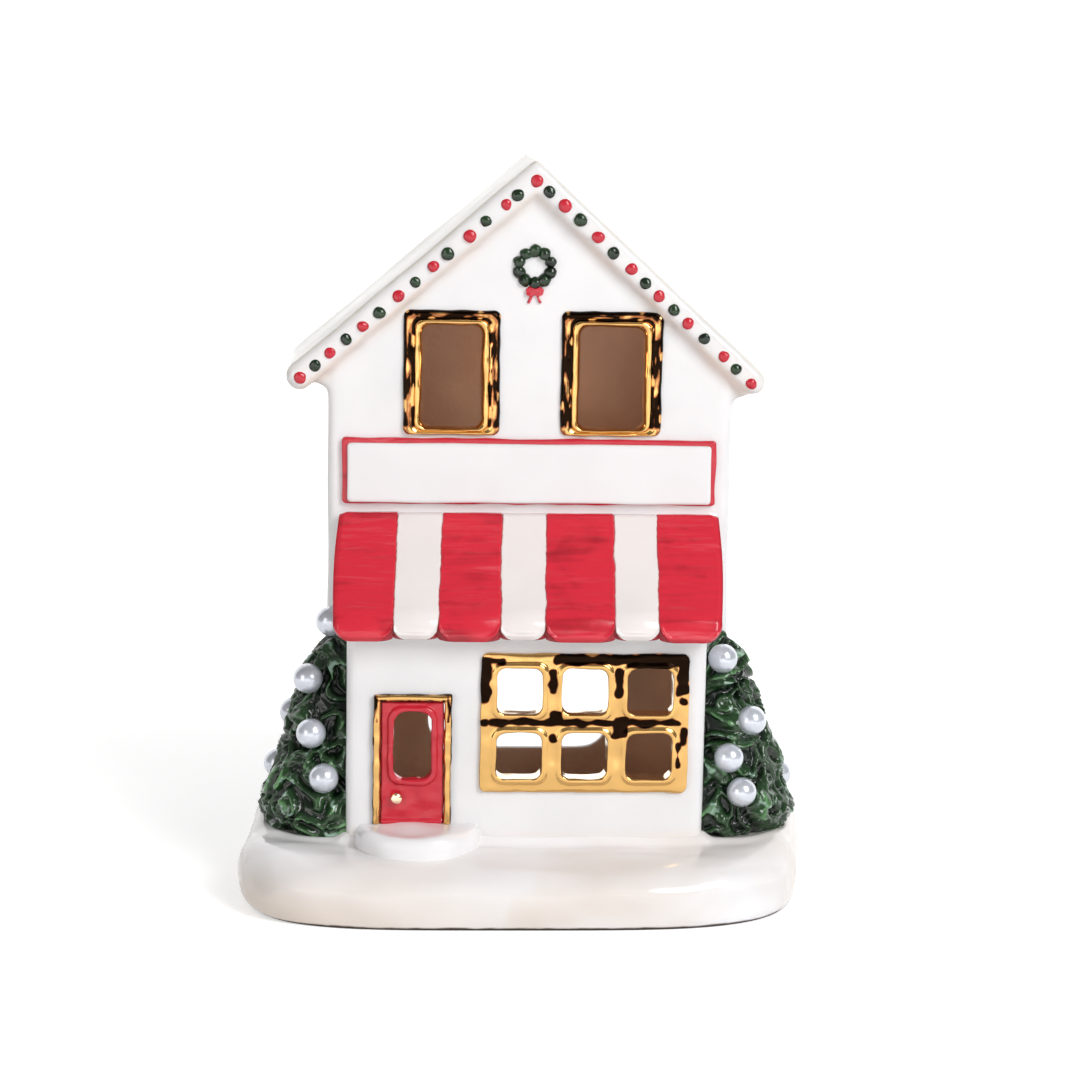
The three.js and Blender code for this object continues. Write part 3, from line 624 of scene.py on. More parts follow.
def makeShopBody(shopInner):
    # the shopfront's walls and the hood of the awning
    wall, ceiling, back = shell["wall"], shell["ceiling"], shell["shopReach"] + 2
    plan = roundedRect(-shell["shopHalf"], shell["shopHalf"], 0, shell["shopReach"] + 3, shell["corner"])
    shop = prism(plan, "z", -3, shell["shopHeight"] + 1, shopOrigin)
    doorX, doorZ = shell["doorOpening"]
    carve([shop], [
        block(-shopInner, shopInner, wall, 30, -5, 60, shopOrigin),
        plate(*shell["shopOpening"], -2, wall + 2, shopOrigin),
        block(*doorX, -2, wall + 2, *doorZ, shopOrigin),
    ])
    shrink, inset = awning["hoodInset"]
    profile = awningProfile(-shrink)
    side = [(back, shell["shopHeight"]), (back, profile[0][1])] + profile
    hood = prism(side, "x", -awning["half"] + inset, awning["half"] - inset, shopOrigin)
    for vertex in hood.data.vertices:
        vertex.co.x += awning["skew"] * (vertex.co.y - shopOrigin.y * mm)
    hollow = [(wall, 50), (30, 50), (30, ceiling), (24, ceiling), (wall, ceiling - shell["ceilingFall"])]
    carve([hood], [prism(hollow, "x", -shopInner, shopInner, shopOrigin)])
    return [shop, hood]


def makeShell():
    half, depth, wall = shell["width"] / 2, shell["depth"], shell["wall"]
    inner, shopInner = half - wall, shell["shopHalf"] - wall
    over, fascia = shell["overhang"], shell["fascia"]
    solids = [makeHouseBody(half, inner, shopInner)]
    solids.append(prism(roofOutline(), "y", fascia - over, depth + over - fascia, houseOrigin))
    solids.append(prism(roofOutline(shell["fasciaInset"]), "y", -over, depth + over, houseOrigin))
    solids += makeShopBody(shopInner)
    for side in (-1, 1):  # soft coves under the eaves
        x = side * half
        foot, out = roofLine(x, 3.5) - 5, x + side * shell["cove"]
        cove = [(x - side, foot), (x, foot), (out, roofLine(out, 3)), (x - side, roofLine(x, 2))]
        solids.append(prism(cove, "y", 1, depth - 1, houseOrigin))
    obj = wobble(fuse("houseShell", solids, shell["voxel"], 4), *shell["wobble"])
    finishPiece(obj, [whiteGlaze, innerClay, slopeGlaze], [
        "front_gable_wall", "left_front_pier", "right_front_pier", "rear_wall", "left_side_wall", "right_side_wall",
        "shopfront_wall", "shopfront_left_side", "shopfront_right_side", "roof_left", "roof_right", "awning_body",
    ])
    # painted shade under the eaves, under the hood and at the foot of the walls
    paintBy(obj, "warm", Vector(), shadeWarmth)
    # the roof tops are painted a darker shade
    slopes = [slopeShare(vertex.co / mm - houseOrigin) for vertex in obj.data.vertices]
    paint(obj, "shadeMask", slopes)
    margin = shell["clayMargin"]
    for face in obj.data.polygons:
        spot, low = face.center / mm - houseOrigin, face.center / mm - shopOrigin
        inBody = abs(spot.x) < inner + margin and wall - margin < spot.y < depth - wall + margin
        inBody = inBody and spot.z < roofLine(spot.x, 2 + margin)
        inFront = abs(low.x) < shopInner + margin and wall - margin < low.y < 28 and low.z < 84
        onSlope = min(slopes[i] for i in face.vertices) > 0.5
        face.material_index = 2 if onSlope else int(inBody or inFront)


makeShell()


# snow base
base = {
    "length": 151.3,
    "depth": 104.0,
    "height": 16.4,
    "limit": (77.45, 52.4),
    "square": 4.1,
    "skew": 0.11,
    "widest": 9.4,
    "sideRim": 6.0,
    "frontRim": 20.0,
    "leftTuck": 6.4,
    "rightTuck": 2.8,
    "frontTuck": 1.8,
    "recess": (5, 0.8),
    "segments": 340,
    "topRings": 70,
    "walls": ((-54.4, 54.0, -1.5, 44.5), (-48.8, 46.2, -25.5, 0)),
    "drift": {"rise": 1.6, "width": 1.8},
    "treeDrift": {"x": 52.6, "y": -3.5, "left": 20.0, "right": 20.6, "rise": 0.8, "width": 2.4},
    "mounds": (
        (-71.5, 19.0, 6.5, 13.0, 5.4),
        (73.5, 16.0, 5.5, 15.0, 6.0),
        (69.0, -24.0, 9.0, 9.0, 1.4),
        (-68.0, -34.0, 12.0, 9.0, 1.6),
        (-34.0, -43.0, 16.0, 5.0, 0.7),
        (24.0, -38.0, 20.0, 3.6, 0.5),
        (42.0, -45.0, 18.0, 4.2, 0.7),
        (0.0, -46.0, 9.0, 3.0, 0.6),
    ),
}


def baseOutline(angle, inset):
    spot = []
    for part, size in ((math.cos(angle), base["length"]), (math.sin(angle), base["depth"])):
        spot.append(math.copysign(abs(part) ** (2 / base["square"]), part) * (size / 2 - inset))
    return spot[0] + base["skew"] * spot[1], spot[1]


def distanceToBlock(x, y, x0, x1, y0, y1):
    return math.hypot(max(x0 - x, 0, x - x1), max(y0 - y, 0, y - y1))


def snowLift(x, y):
    # mounds, drifts along the walls and trees, and soft ridges of spread snow
    lift = 0.0
    for mx, my, rx, ry, rise in base["mounds"]:
        lift += rise * math.exp(-((x - mx) / rx) ** 2 - ((y - my) / ry) ** 2)
    near = min(distanceToBlock(x, y, *wall) for wall in base["walls"])
    wallDrift, drift = base["drift"], base["treeDrift"]
    lift += wallDrift["rise"] * math.exp(-(near / wallDrift["width"]) ** 2)
    for side, reach in ((-1, drift["left"]), (1, drift["right"])):
        away = math.hypot(x - side * drift["x"], y - drift["y"]) - reach
        lift += drift["rise"] * math.exp(-(away / drift["width"]) ** 2)
    lift += 0.5 * noiseAt(x / 19, y / 19, 0.3)
    return lift + 0.30 * noiseAt(x / 26, y / 5.5, 7.3)


def baseRings(angle):
    # (inset, z) from the underside over the rim to the flat top
    side = abs(math.sin(angle)) ** 1.5
    rim = base["sideRim"] + (base["frontRim"] - base["sideRim"]) * side
    sideTuck = base["rightTuck"] if math.cos(angle) > 0 else base["leftTuck"]
    tuck = sideTuck + (base["frontTuck"] - sideTuck) * side
    widest, inset, recess = base["widest"], tuck + base["recess"][0], base["recess"][1]
    rings = [(inset, recess), (inset, 0.0), (tuck, 0.0)]
    for turn in (i / 8 * math.pi / 2 for i in range(1, 9)):
        rings.append((tuck * (1 - math.sin(turn)), widest * (1 - math.cos(turn))))
    for turn in (i / 16 * math.pi / 2 for i in range(1, 17)):
        rings.append((rim * (1 - math.cos(turn)), widest + (base["height"] - widest) * math.sin(turn)))
    return rings, rim


def makeBase():
    count, top, topRings = base["segments"], base["height"], base["topRings"]
    points = []
    for i in range(count):
        angle = i / count * 2 * math.pi
        rings, rim = baseRings(angle)
        inner = baseOutline(angle, rim)
        spots = [(*baseOutline(angle, inset), z) for inset, z in rings]
        for share in (1 - k / (topRings + 1) for k in range(1, topRings + 1)):
            spots.append((inner[0] * share, inner[1] * share, top))
        for k, (x, y, z) in enumerate(spots):
            if k > 2:
                up = min(1, max(0, (z - 6) / (top - 6)))
                wave = noiseAt(x / 21, y / 21, z / 12 + 4.0)
                wave += 0.5 * noiseAt(x / 9, y / 9, z / 9)
                far = math.hypot(x / 75, y / 52)
                push = (wave * 1.5 - 0.1) * min(1, z / 5) * min(1, max(0, far - 0.7) / 0.2)
                z += snowLift(x, y) * up
                x, y = (max(-limit, min(limit, value + push * value / size))
                        for value, size, limit in zip((x, y), (75, 52), base["limit"]))
            points.append((x, y, z))
    rows = len(points) // count
    faces = gridFaces(count, rows)
    for i in range(count):
        a, b = i * rows, (i + 1) % count * rows
        faces += [(len(points), b, a), (a + rows - 1, b + rows - 1, len(points) + 1)]
    points += [(0, 0, base["recess"][1]), (0, 0, top + snowLift(0, 0))]
    obj = outwards(meshFrom("snowBase", points, faces))
    finishPiece(obj, [snowGlaze, innerClay], ["snow_base"])
    for face in obj.data.polygons:  # bare clay inside the house and the shopfront
        x, y, z = face.center / mm
        inHouse = -51.5 < x < 51 and 1.5 < y < 41.5
        inShop = -45.5 < x < 43 and -22.5 < y < 2
        face.material_index = int(z > 14 and (inHouse or inShop))


makeBase()


# door step: a half round slab of snow
step = {"x": -28.5, "radius": 16.6, "height": 5.3, "round": 2.2, "turns": 64, "wobble": (0.8, 9, 3.0)}


def makeStep():
    radius, height, edge, turns = step["radius"], step["height"], step["round"], step["turns"]
    profile = [(0, -3), (radius, -3), (radius, height - edge)]
    for turn in (i / 6 * math.pi / 2 for i in range(1, 7)):
        profile.append((radius - edge * (1 - math.cos(turn)), height - edge * (1 - math.sin(turn))))
    profile.append((0, height))
    points = []
    for angle in (2 * math.pi * i / turns for i in range(turns)):
        points += [(step["x"] + r * math.cos(angle), r * math.sin(angle), z) for r, z in profile]
    disc = outwards(meshFrom("step", points, gridFaces(turns, len(profile)), shopOrigin))
    carve([disc], [block(-80, 80, 1, 40, -10, 20, shopOrigin)])
    obj = wobble(fuse("doorStep", [disc], 0.5, 8), *step["wobble"])
    finishPiece(obj, [stepGlaze], ["door_step"])


makeStep()


# awning stripes, puffed up and scalloped at the hem
stripe = {
    "across": 44,
    "along": 104,
    "path": 200,
    "outerBend": 4.8,
    "sink": 0.7,
    "hemCut": 0.22,
    "red": {"drop": awning["hemDrop"], "bend": 1.0, "side": 0.35, "puff": 0.52, "lip": 0.75, "brush": 0.13},
    "white": {"drop": 0.1, "bend": 0.72, "side": 0.25, "puff": 0.42, "lip": 0.4, "brush": 0.03},
}


def stripeBounds():
    total = sum(awning["shares"])
    edges = [-awning["half"]]
    for share in awning["shares"]:
        edges.append(edges[-1] + 2 * awning["half"] * share / total)
    return edges


def evenly(points, count):
    lengths = [0.0]
    for a, b in zip(points, points[1:]):
        lengths.append(lengths[-1] + math.dist(a, b))
    out = []
    for i in range(count + 1):
        target = lengths[-1] * i / count
        k = max(j for j, length in enumerate(lengths) if length <= target + 1e-9)
        k = min(k, len(points) - 2)
        share = (target - lengths[k]) / (lengths[k + 1] - lengths[k])
        out.append(tuple(a + (b - a) * share for a, b in zip(points[k], points[k + 1])))
    return out, lengths[-1]


def stripeEdge(index, x, v):
    # brushed edges waver, the outer ones swell towards the hem
    if index in (0, 7):
        side = -1 if index == 0 else 1
        return x + side * (0.7 * math.sin(math.pi * min(1, v * 1.05)) - 0.35 - 1.3 * (1 - smooth(v / 0.08)))
    waver = noiseAt(index * 3.1, v * 8, 0.5)
    return x + 0.35 * waver + 0.14 * noiseAt(index, v * 30, 2.5)


def stripeSwell(index, isRed, outer, x, s, reach, length, fromEdge, arc, cut):
    # how far a spot on top stands out, and how much painted shade darkens it
    style = stripe["red" if isRed else "white"]
    fromHem, down = (1 - reach) * length - cut, reach * length
    above = fromHem + cut - arc
    inside = smooth(0.5 + above / 0.55) if arc > 0.05 and not outer else 1.0
    edge = smooth(0.15 + 0.85 * fromEdge / (1.6 if outer else style["side"]))
    hemEdge = smooth(0.1 + 0.9 * max(0, fromHem) / 1.1)
    curl = math.exp(-((fromHem - 1.6) / 2.2) ** 2)
    lip = math.exp(-((above - 0.55) / 0.5) ** 2) * smooth(arc / 1.2)
    roll = math.exp(-((fromHem - 4.5) / 5.0) ** 2) * (1 - s * s)
    bulge = style["puff"] + 0.45 * curl + 0.7 * roll + style["lip"] * lip
    bulge *= edge * hemEdge * smooth(0.3 + 0.7 * down / 0.8)
    bulge = bulge * inside + 0.22 * (1 - inside)
    brush = noiseAt(x / 10, down / 1.5, index)
    brush += 0.5 * noiseAt(x / 5, down / 0.8, index + 9)
    bulge += style["brush"] * brush * edge * hemEdge * inside
    # painted shade in the recess behind a scallop, where the red body shows; red stripes are also shaded at top and
    # sides
    shadeMask = 1 - inside
    if isRed:
        shadeMask = max(shadeMask, 0.8 * (1 - smooth(down / 0.9)), 0.6 * (1 - edge))
    return max(bulge, 0.05), shadeMask


def makeStripe(index, left, right, isRed, material):
    across, along, pathSteps = stripe["across"], stripe["along"], stripe["path"]
    style = stripe["red" if isRed else "white"]
    path, length = evenly(awningProfile(0.0, style["drop"]), pathSteps)
    points, shadeMasks = [], []
    for u in range(across + 1):  # down the top of the stripe and up again underneath
        s = math.sin((u / across - 0.5) * math.pi)
        for isTop in (True, False):
            for v in range(along + 1) if isTop else range(along, -1, -1):
                reach = (v / along) ** 0.8
                x0, x1 = stripeEdge(index - 1, left, reach), stripeEdge(index, right, reach)
                x = (x0 + x1) / 2 + s * (x1 - x0) / 2
                fromLeft, fromRight = x - x0, x1 - x
                fromEdge = min(fromLeft, fromRight)
                outer = (index == 1 and fromLeft < fromRight) or (index == 7 and fromRight < fromLeft)
                bend = stripe["outerBend"] if outer else awning["scallop"] * style["bend"]
                arc = 0.0
                if fromEdge < bend:
                    arc = bend - math.sqrt(max(0, bend ** 2 - (bend - fromEdge) ** 2))
                cut = arc if outer else stripe["hemCut"] * arc
                reach *= 1 - cut / length
                k = min(int(reach * pathSteps), pathSteps - 1)
                share = reach * pathSteps - k
                dy, dz = (b - a for a, b in zip(path[k], path[k + 1]))
                size = math.hypot(dy, dz)
                rise, shadeMask = -stripe["sink"], 0.0
                if isTop:
                    rise, shadeMask = stripeSwell(index, isRed, outer, x, s, reach, length, fromEdge, arc, cut)
                y = path[k][0] + dy * share + dz / size * rise
                z = path[k][1] + dz * share - dy / size * rise
                points.append((x + awning["skew"] * y, y, z))
                shadeMasks.append(shadeMask)
    rows = 2 * (along + 1)
    faces = gridFaces(across + 1, rows, False, True)
    for side in (0, across * rows):
        faces += [(side + v, side + v + 1, side + rows - 2 - v, side + rows - 1 - v) for v in range(along)]
    obj = outwards(meshFrom("awningStripe%d" % index, points, faces, shopOrigin))
    paint(obj, "shadeMask", shadeMasks)
    finishPiece(obj, [material], ["awning_stripe_%d" % index])


def makeStripes():
    edges = stripeBounds()
    for index, (left, right) in enumerate(zip(edges, edges[1:]), 1):
        isRed = index % 2 == 1
        material, slotName = (awningRed, "red_glaze") if isRed else (stripeGlaze, "white_glaze")
        makeStripe(index, left, right, isRed, material)


makeStripes()


# sign: red backing board and bare white panel
sign = {
    "left": -50.2,
    "right": 49.9,
    "low": 87.1,
    "high": 104.8,
    "margin": 1.3,
    "foot": 0.4,
    "voxel": 0.45,
    "backing": {"corner": 0.8, "depth": (-1.35, 1.0), "smoothing": 3, "wobble": (0.35, 8, 5.0)},
    "panel": {"corner": 0.9, "depth": (-2.5, -0.3), "smoothing": 4, "wobble": (0.25, 14, 7.0)},
}


def makeBoard(name, values, x0, x1, z0, z1, material, nodes, slotName):
    board = plate(x0, x1, z0, z1, values["corner"], *values["depth"], houseOrigin)
    obj = wobble(fuse(name, [board], sign["voxel"], values["smoothing"]), *values["wobble"])
    finishPiece(obj, [material], nodes)


def makeSign():
    left, right, low, high, margin = (sign[label] for label in ("left", "right", "low", "high", "margin"))
    makeBoard("signBacking", sign["backing"], left, right, low, high, redGlaze, ["sign_backing"], "red_glaze")
    inner = (left + margin, right - margin, low + sign["foot"], high - margin)
    makeBoard("signPanel", sign["panel"], *inner, signGlaze, ["sign_panel"], "white_glaze")


makeSign()


# gilded window frames; profile holds (share from the inner to the outer edge, y), and the
# last four values are the shares where the bevel, the lining and the groove end and the rim begins
moulding = {
    "profile": (
        (-0.17, 3.9), (-0.17, 1.4), (-0.15, 0.4), (-0.10, -0.6), (-0.04, -1.3), (0.04, -1.75), (0.12, -1.92),
        (0.20, -1.88), (0.27, -1.6), (0.32, -1.2), (0.37, -1.0), (0.43, -1.05), (0.52, -1.3), (0.64, -1.45),
        (0.76, -1.42), (0.86, -1.22), (0.93, -0.85), (0.98, -0.35), (1.0, 0.25), (0.65, 0.25), (0.29, 0.25),
        (0.29, 3.9),
    ),
    "corner": 1.9,
    "wobble": (0.3, 5.5, 2.0),
    "bevel": -0.12,
    "lining": 0.30,
    "groove": 0.44,
    "rim": 0.80,
}


highlightGold = -0.7  # a value far below any dark patch, which gives the pale painted highlight


def upperReflections(share, spot, window):
    # painted reflections: dark brown and copper streaks that run along the bars; the sill stays bright and the
    # inner bevel takes the pale painted highlight
    x, z = spot.x - window["x"], spot.z
    fromMiddle = abs(x) / (window["width"] / 2 + 2)
    sill = smooth((upperHole["low"] + 1.0 - z) / 1.4)
    across = share * 3.2 + window["x"]
    if abs(x) > window["width"] / 2 - 0.5:
        streak = noiseAt(across, z / 5.5, 1.0) + 0.5 * noiseAt(x / 1.1, z / 2.2, 4)
    else:
        streak = noiseAt(x / 5.5 + 9.0, across, 1.0) + 0.5 * noiseAt(x / 2.6, z, 4)
    paintedReflection = 0.66 + 0.62 * streak
    blob = noiseAt(x / 2.2, z / 3.4, 11.0)
    if share < moulding["bevel"]:
        paintedReflection = highlightGold
    elif share < moulding["lining"]:
        paintedReflection = 0.10 + 0.22 * streak
    elif share < moulding["groove"]:
        paintedReflection = 0.85 if blob < 0.25 else 0.2
    elif share > moulding["rim"]:
        paintedReflection = 0.95 if blob < 0.32 else 0.15
    paintedReflection = paintedReflection * (1 - sill) + (0.18 + 0.2 * streak) * sill
    if fromMiddle > 1.05 and z < upperHole["low"]:
        paintedReflection = max(paintedReflection, 0.5)
    return paintedReflection


def makeUpperFrame(side):
    window, out = upperWindows[side], upperHole["side"]
    low, high = upperHole["low"], upperHole["high"]
    x0, x1 = window["x"] - window["width"] / 2, window["x"] + window["width"] / 2
    inner = ringPoints(x0, x1, low, high, upperHole["radius"])
    outer = ringPoints(x0 - out, x1 + out, low - upperHole["sill"], high + upperHole["top"], moulding["corner"])
    obj, shares = loft(side + "WindowFrame", inner, outer, moulding["profile"], houseOrigin)
    spots = [vertex.co / mm - houseOrigin for vertex in obj.data.vertices]
    paint(obj, "paintedReflection", [upperReflections(share, spot, window) for share, spot in zip(shares, spots)])
    finer = obj.modifiers.new("finer", "SUBSURF")
    finer.levels = finer.render_levels = 1
    wobble(settle(obj), *moulding["wobble"])
    finishPiece(obj, [goldLustre], [side + "_window_frame"])


# the dark painted reflections are patches (x, z, half width, half height) from the frame's middle
shopFrame = {
    "x": 15.25,
    "z": 32.675,
    "width": 55.0,
    "height": 37.6,
    "pane": (12.5, 12.8),
    "pitch": (17.15, 17.45),
    "liner": (25.2, 16.5),
    "voxel": 0.36,
    "wobble": (0.3, 6.0, 9.0),
    "darkReflections": (
        (9.5, 17.3, 18.0, 1.5), (19.0, 16.2, 8.6, 1.4), (25.8, 12.6, 1.7, 5.0), (26.3, 6.4, 1.3, 1.2),
        (26.4, -3.2, 1.2, 2.4), (24.8, -8.5, 0.5, 3.6), (-26.3, 11.3, 1.6, 6.0), (-24.5, 16.9, 3.6, 0.9),
        (0.0, 0.35, 25.6, 1.0), (-7.3, 1.9, 1.7, 2.0), (9.4, -0.9, 2.1, 3.0), (-8.5, 11.2, 1.2, 3.5),
        (-8.2, -3.9, 1.1, 1.4), (8.9, 11.0, 1.1, 4.1), (-26.4, 0.4, 1.2, 1.1), (17.5, 18.0, 9.5, 1.0),
    ),
}


def shopReflections(x, z):
    shake = noiseAt(x / 3.6, z / 2.4, 3.0)
    paintedReflection = 0.15 + 0.25 * noiseAt(x / 9, z / 9, 1.0)
    for cx, cz, rx, rz in shopFrame["darkReflections"]:
        corner = min(rx, rz, 1.0)
        dx, dz = abs(x - cx) - rx + corner, abs(z - cz) - rz + corner
        away = math.hypot(max(dx, 0), max(dz, 0)) + min(max(dx, dz), 0) - corner
        paintedReflection = max(paintedReflection, 0.95 - smooth(0.5 + (away + shake) / 1.1) * 0.9)
    return paintedReflection


def makeShopFrame():
    halfX, halfZ = shopFrame["width"] / 2, shopFrame["height"] / 2
    paneX, paneZ = shopFrame["pane"][0] / 2, shopFrame["pane"][1] / 2

    def centred(x, z, sizeX, sizeZ, corner, front, back):
        return plate(x - sizeX, x + sizeX, z - sizeZ, z + sizeZ, corner, front, back, shopOrigin)

    x, z = shopFrame["x"], shopFrame["z"]
    solids = [
        centred(x, z, halfX, halfZ, 1.9, -1.15, 0.3),
        centred(x, z, halfX - 1.0, halfZ - 1.0, 1.6, -1.35, 0.3),
        centred(x, z, *shopFrame["liner"], 1.8, -0.8, 4),
    ]
    cutters = []
    for column in (-1, 0, 1):
        for row in (-0.5, 0.5):
            cx, cz = x + column * shopFrame["pitch"][0], z + row * shopFrame["pitch"][1]
            solids.append(centred(cx, cz, paneX + 0.9, paneZ + 0.9, 2.9, -1.95, 0.3))
            cutters.append(centred(cx, cz, paneX - 0.25, paneZ - 0.25, 2.3, -6, 8))
    carve(solids, cutters)
    obj = wobble(fuse("shopWindowFrame", solids, shopFrame["voxel"], 6), *shopFrame["wobble"])
    paintedReflections = []
    for vertex in obj.data.vertices:
        spot = vertex.co / mm - shopOrigin
        fromX, fromZ = spot.x - x, spot.z - z
        # the inner bevels take the pale painted highlight
        bevel = abs(fromX) < halfX - 2.5 and abs(fromZ) < halfZ - 2.0 and -vertex.normal.y < 0.35
        paintedReflections.append(highlightGold if bevel else shopReflections(fromX, fromZ))
    paint(obj, "paintedReflection", paintedReflections)
    finishPiece(obj, [goldLustre], ["shop_window_frame"])


makeUpperFrame("left")
makeUpperFrame("right")
makeShopFrame()


# door: red leaf with its light, gilded frame and knob
door = {
    "x": -30.0,
    "width": 16.6,
    "low": 5.3,
    "height": 33.0,
    "lightWidth": 10.0,
    "lightLow": 17.4,
    "lightHeight": 18.2,
    "lip": 1.4,
    "frame": (0.1, 2.0),
    "leafVoxel": 0.32,
    "frameVoxel": 0.28,
    "leafWobble": (0.35, 3.4, 4.0),
    "frameWobble": (0.3, 4, 6.0),
    "knobWobble": (0.12, 1.5),
}


def makeLeaf(x, half, low, high):
    side, bottom, lip = door["lightWidth"] / 2, door["lightLow"], door["lip"]
    top = bottom + door["lightHeight"]
    solids = [
        block(x - half, x + half, -0.7, 2.4, low, high, shopOrigin),
        plate(x - side - lip, x + side + lip, bottom - lip, top + lip, 3.6, -1.6, 0, shopOrigin),
    ]
    carve(solids, [plate(x - side, x + side, bottom, top, 2.8, -6, 8, shopOrigin)])
    solids.append(plate(x - half, x + half, low, low + 1.0, 0.4, -1.1, 0, shopOrigin))
    obj = wobble(fuse("doorLeaf", solids, door["leafVoxel"], 4), *door["leafWobble"])

    # painted shade along the leaf's sides and top, beside the frame
    def shadeMask(spot):
        return 1 - smooth(min(spot.x - x + half, x + half - spot.x, high - spot.z) / 0.9)

    paintBy(obj, "shadeMask", shopOrigin, shadeMask)
    finishPiece(obj, [redGlaze], ["door_leaf"])


def makeDoorFrame(x, half, low, high):
    inner, outer = (half + reach for reach in door["frame"])
    bars = []
    for side in (-1, 1):
        a, b = sorted((x + side * inner, x + side * outer))
        bars.append(prism(roundedRect(a, b, -1.75, 0.6, 0.85), "z", low, high + 1.8, shopOrigin))
    head = roundedRect(-1.8, 0.6, high + door["frame"][0], high + door["frame"][1], 0.85)
    bars.append(prism(head, "x", x - outer, x + outer, shopOrigin))
    obj = wobble(fuse("doorFrame", bars, door["frameVoxel"], 4), *door["frameWobble"])

    def reflectionsAt(spot):
        # painted reflections: dark along the frame's outer edges, streaked near the top corners and under the head
        out, up = abs(spot.x - x) - half, spot.z - high
        paintedReflection = 0.9 if out > 1.8 or up > 1.85 else 0.1
        streak = noiseAt(spot.x / 0.9, spot.z / 4.0, 2.0)
        if up > -5.5 and out > 0.7:
            paintedReflection = max(paintedReflection, 0.55 + 0.5 * streak)
        if 0.1 < up < 0.7:
            paintedReflection = max(paintedReflection, 0.5 + 0.4 * streak)
        return paintedReflection + 0.25 * streak

    paintBy(obj, "paintedReflection", shopOrigin, reflectionsAt)
    finishPiece(obj, [goldLustre], ["door_frame"])


def makeKnob():
    low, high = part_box("door_knob")
    centre, size = (low + high) / 2, (high - low) / 2
    knob = bmesh.new()
    bmesh.ops.create_uvsphere(knob, u_segments=32, v_segments=20, radius=1.0)
    for vertex in knob.verts:
        flat = vertex.co.copy()
        flat.y = math.copysign(abs(flat.y) ** 0.8, flat.y)
        vertex.co = centre + flat * size
    obj = newObject("doorKnob", bpy.data.meshes.new("doorKnob"))
    knob.to_mesh(obj.data)
    knob.free()
    # the knob takes the pale painted highlight
    paint(obj, "paintedReflection", [-0.5] * len(obj.data.vertices))
    finishPiece(wobble(obj, *door["knobWobble"]), [goldLustre], ["door_knob"])


doorSpan = (door["x"], door["width"] / 2, door["low"], door["low"] + door["height"])
makeLeaf(*doorSpan)
makeDoorFrame(*doorSpan)
makeKnob()


# beads that Geometry Nodes put on every point, flattened and each a little different
def beadTree(name, material, segments, rings):
    inputs = {"Geometry": None, "Width": 0.002, "Rise": 0.001, "Height": 0.002, "Variation": 0.1, "Seed": 1}
    tree, start = makeGroup("GeometryNodeTree", name, inputs, {"Geometry": None})
    bead = addNode(tree, "GeometryNodeMeshUVSphere", {"Segments": segments, "Rings": rings, "Radius": 1.0})
    size = addNode(tree, "ShaderNodeCombineXYZ", {"X": start["Width"], "Y": start["Rise"], "Z": start["Height"]})
    chance = addNode(tree, "FunctionNodeRandomValue", {2: -1.0, 3: 1.0, "Seed": start["Seed"]}, data_type="FLOAT")
    values = {0: chance.outputs[1], 1: start["Variation"], 2: 1.0}
    spread = addNode(tree, "ShaderNodeMath", values, operation="MULTIPLY_ADD").outputs[0]
    scaled = addNode(tree, "ShaderNodeVectorMath", {0: size.outputs[0], "Scale": spread}, operation="SCALE")
    values = {"Points": start["Geometry"], "Instance": bead.outputs["Mesh"], "Scale": scaled.outputs[0]}
    instances = addNode(tree, "GeometryNodeInstanceOnPoints", values)
    beads = addNode(tree, "GeometryNodeRealizeInstances", {0: instances.outputs[0]})
    painted = addNode(tree, "GeometryNodeSetMaterial", {"Geometry": beads.outputs[0], "Material": material})
    addNode(tree, "NodeGroupOutput", {"Geometry": painted.outputs[0]})
    return tree


def growBeads(name, spots, origin, bead, material):
    obj = meshFrom(name, spots, [], origin)
    tree = beadTree(name + "Tree", material, *bead["fineness"])
    width, rise = bead["size"]
    values = {"Width": width * mm, "Rise": rise * mm, "Height": width * mm}
    values.update({"Variation": bead["variation"], "Seed": bead["seed"]})
    grow = obj.modifiers.new("grow", "NODES")
    grow.node_group = tree
    for item in tree.interface.items_tree:
        if item.in_out == "INPUT" and item.name in values:
            grow[item.identifier] = values[item.name]
    return wobble(settle(obj), *bead["wobble"])


# raised dots along the roof's front edge, from the ridge down on each side
roofDots = {
    "ridgeDrop": 1.1,
    "drop": 0.45,
    "left": (4.5, 7.6, 12.9, 17.0, 22.8, 26.5, 31.2, 35.6, 40.7, 45.0, 49.3, 53.6, 57.5, 61.3),
    "right": (3.8, 7.9, 12.0, 16.8, 20.9, 25.7, 29.6, 33.3, 37.3, 41.1, 45.6, 50.8, 54.2, 58.4),
    "bead": {"size": (1.62, 0.95), "variation": 0.1, "seed": 4, "fineness": (20, 12), "wobble": (0.3, 2.0)},
}


def dotSpots():
    spots = [(shell["ridgeX"], roofLine(shell["ridgeX"], 0) - roofDots["ridgeDrop"], True)]
    for side, label in ((-1, "left"), (1, "right")):
        for i, away in enumerate(roofDots[label]):
            shift = 0.35 * noiseAt(away, side, 0.5)
            spots.append((side * away, roofLine(side * away, roofDots["drop"] + shift), i % 2 == 1))
    return spots


def makeDots(name, isRed, material):
    spots = [(x, 0.1 - shell["overhang"], z) for x, z, red in dotSpots() if red == isRed]
    finishPiece(growBeads(name, spots, houseOrigin, roofDots["bead"], material), [material], [])


makeDots("roofDotsRed", True, redGlaze)
makeDots("roofDotsGreen", False, greenGlaze)


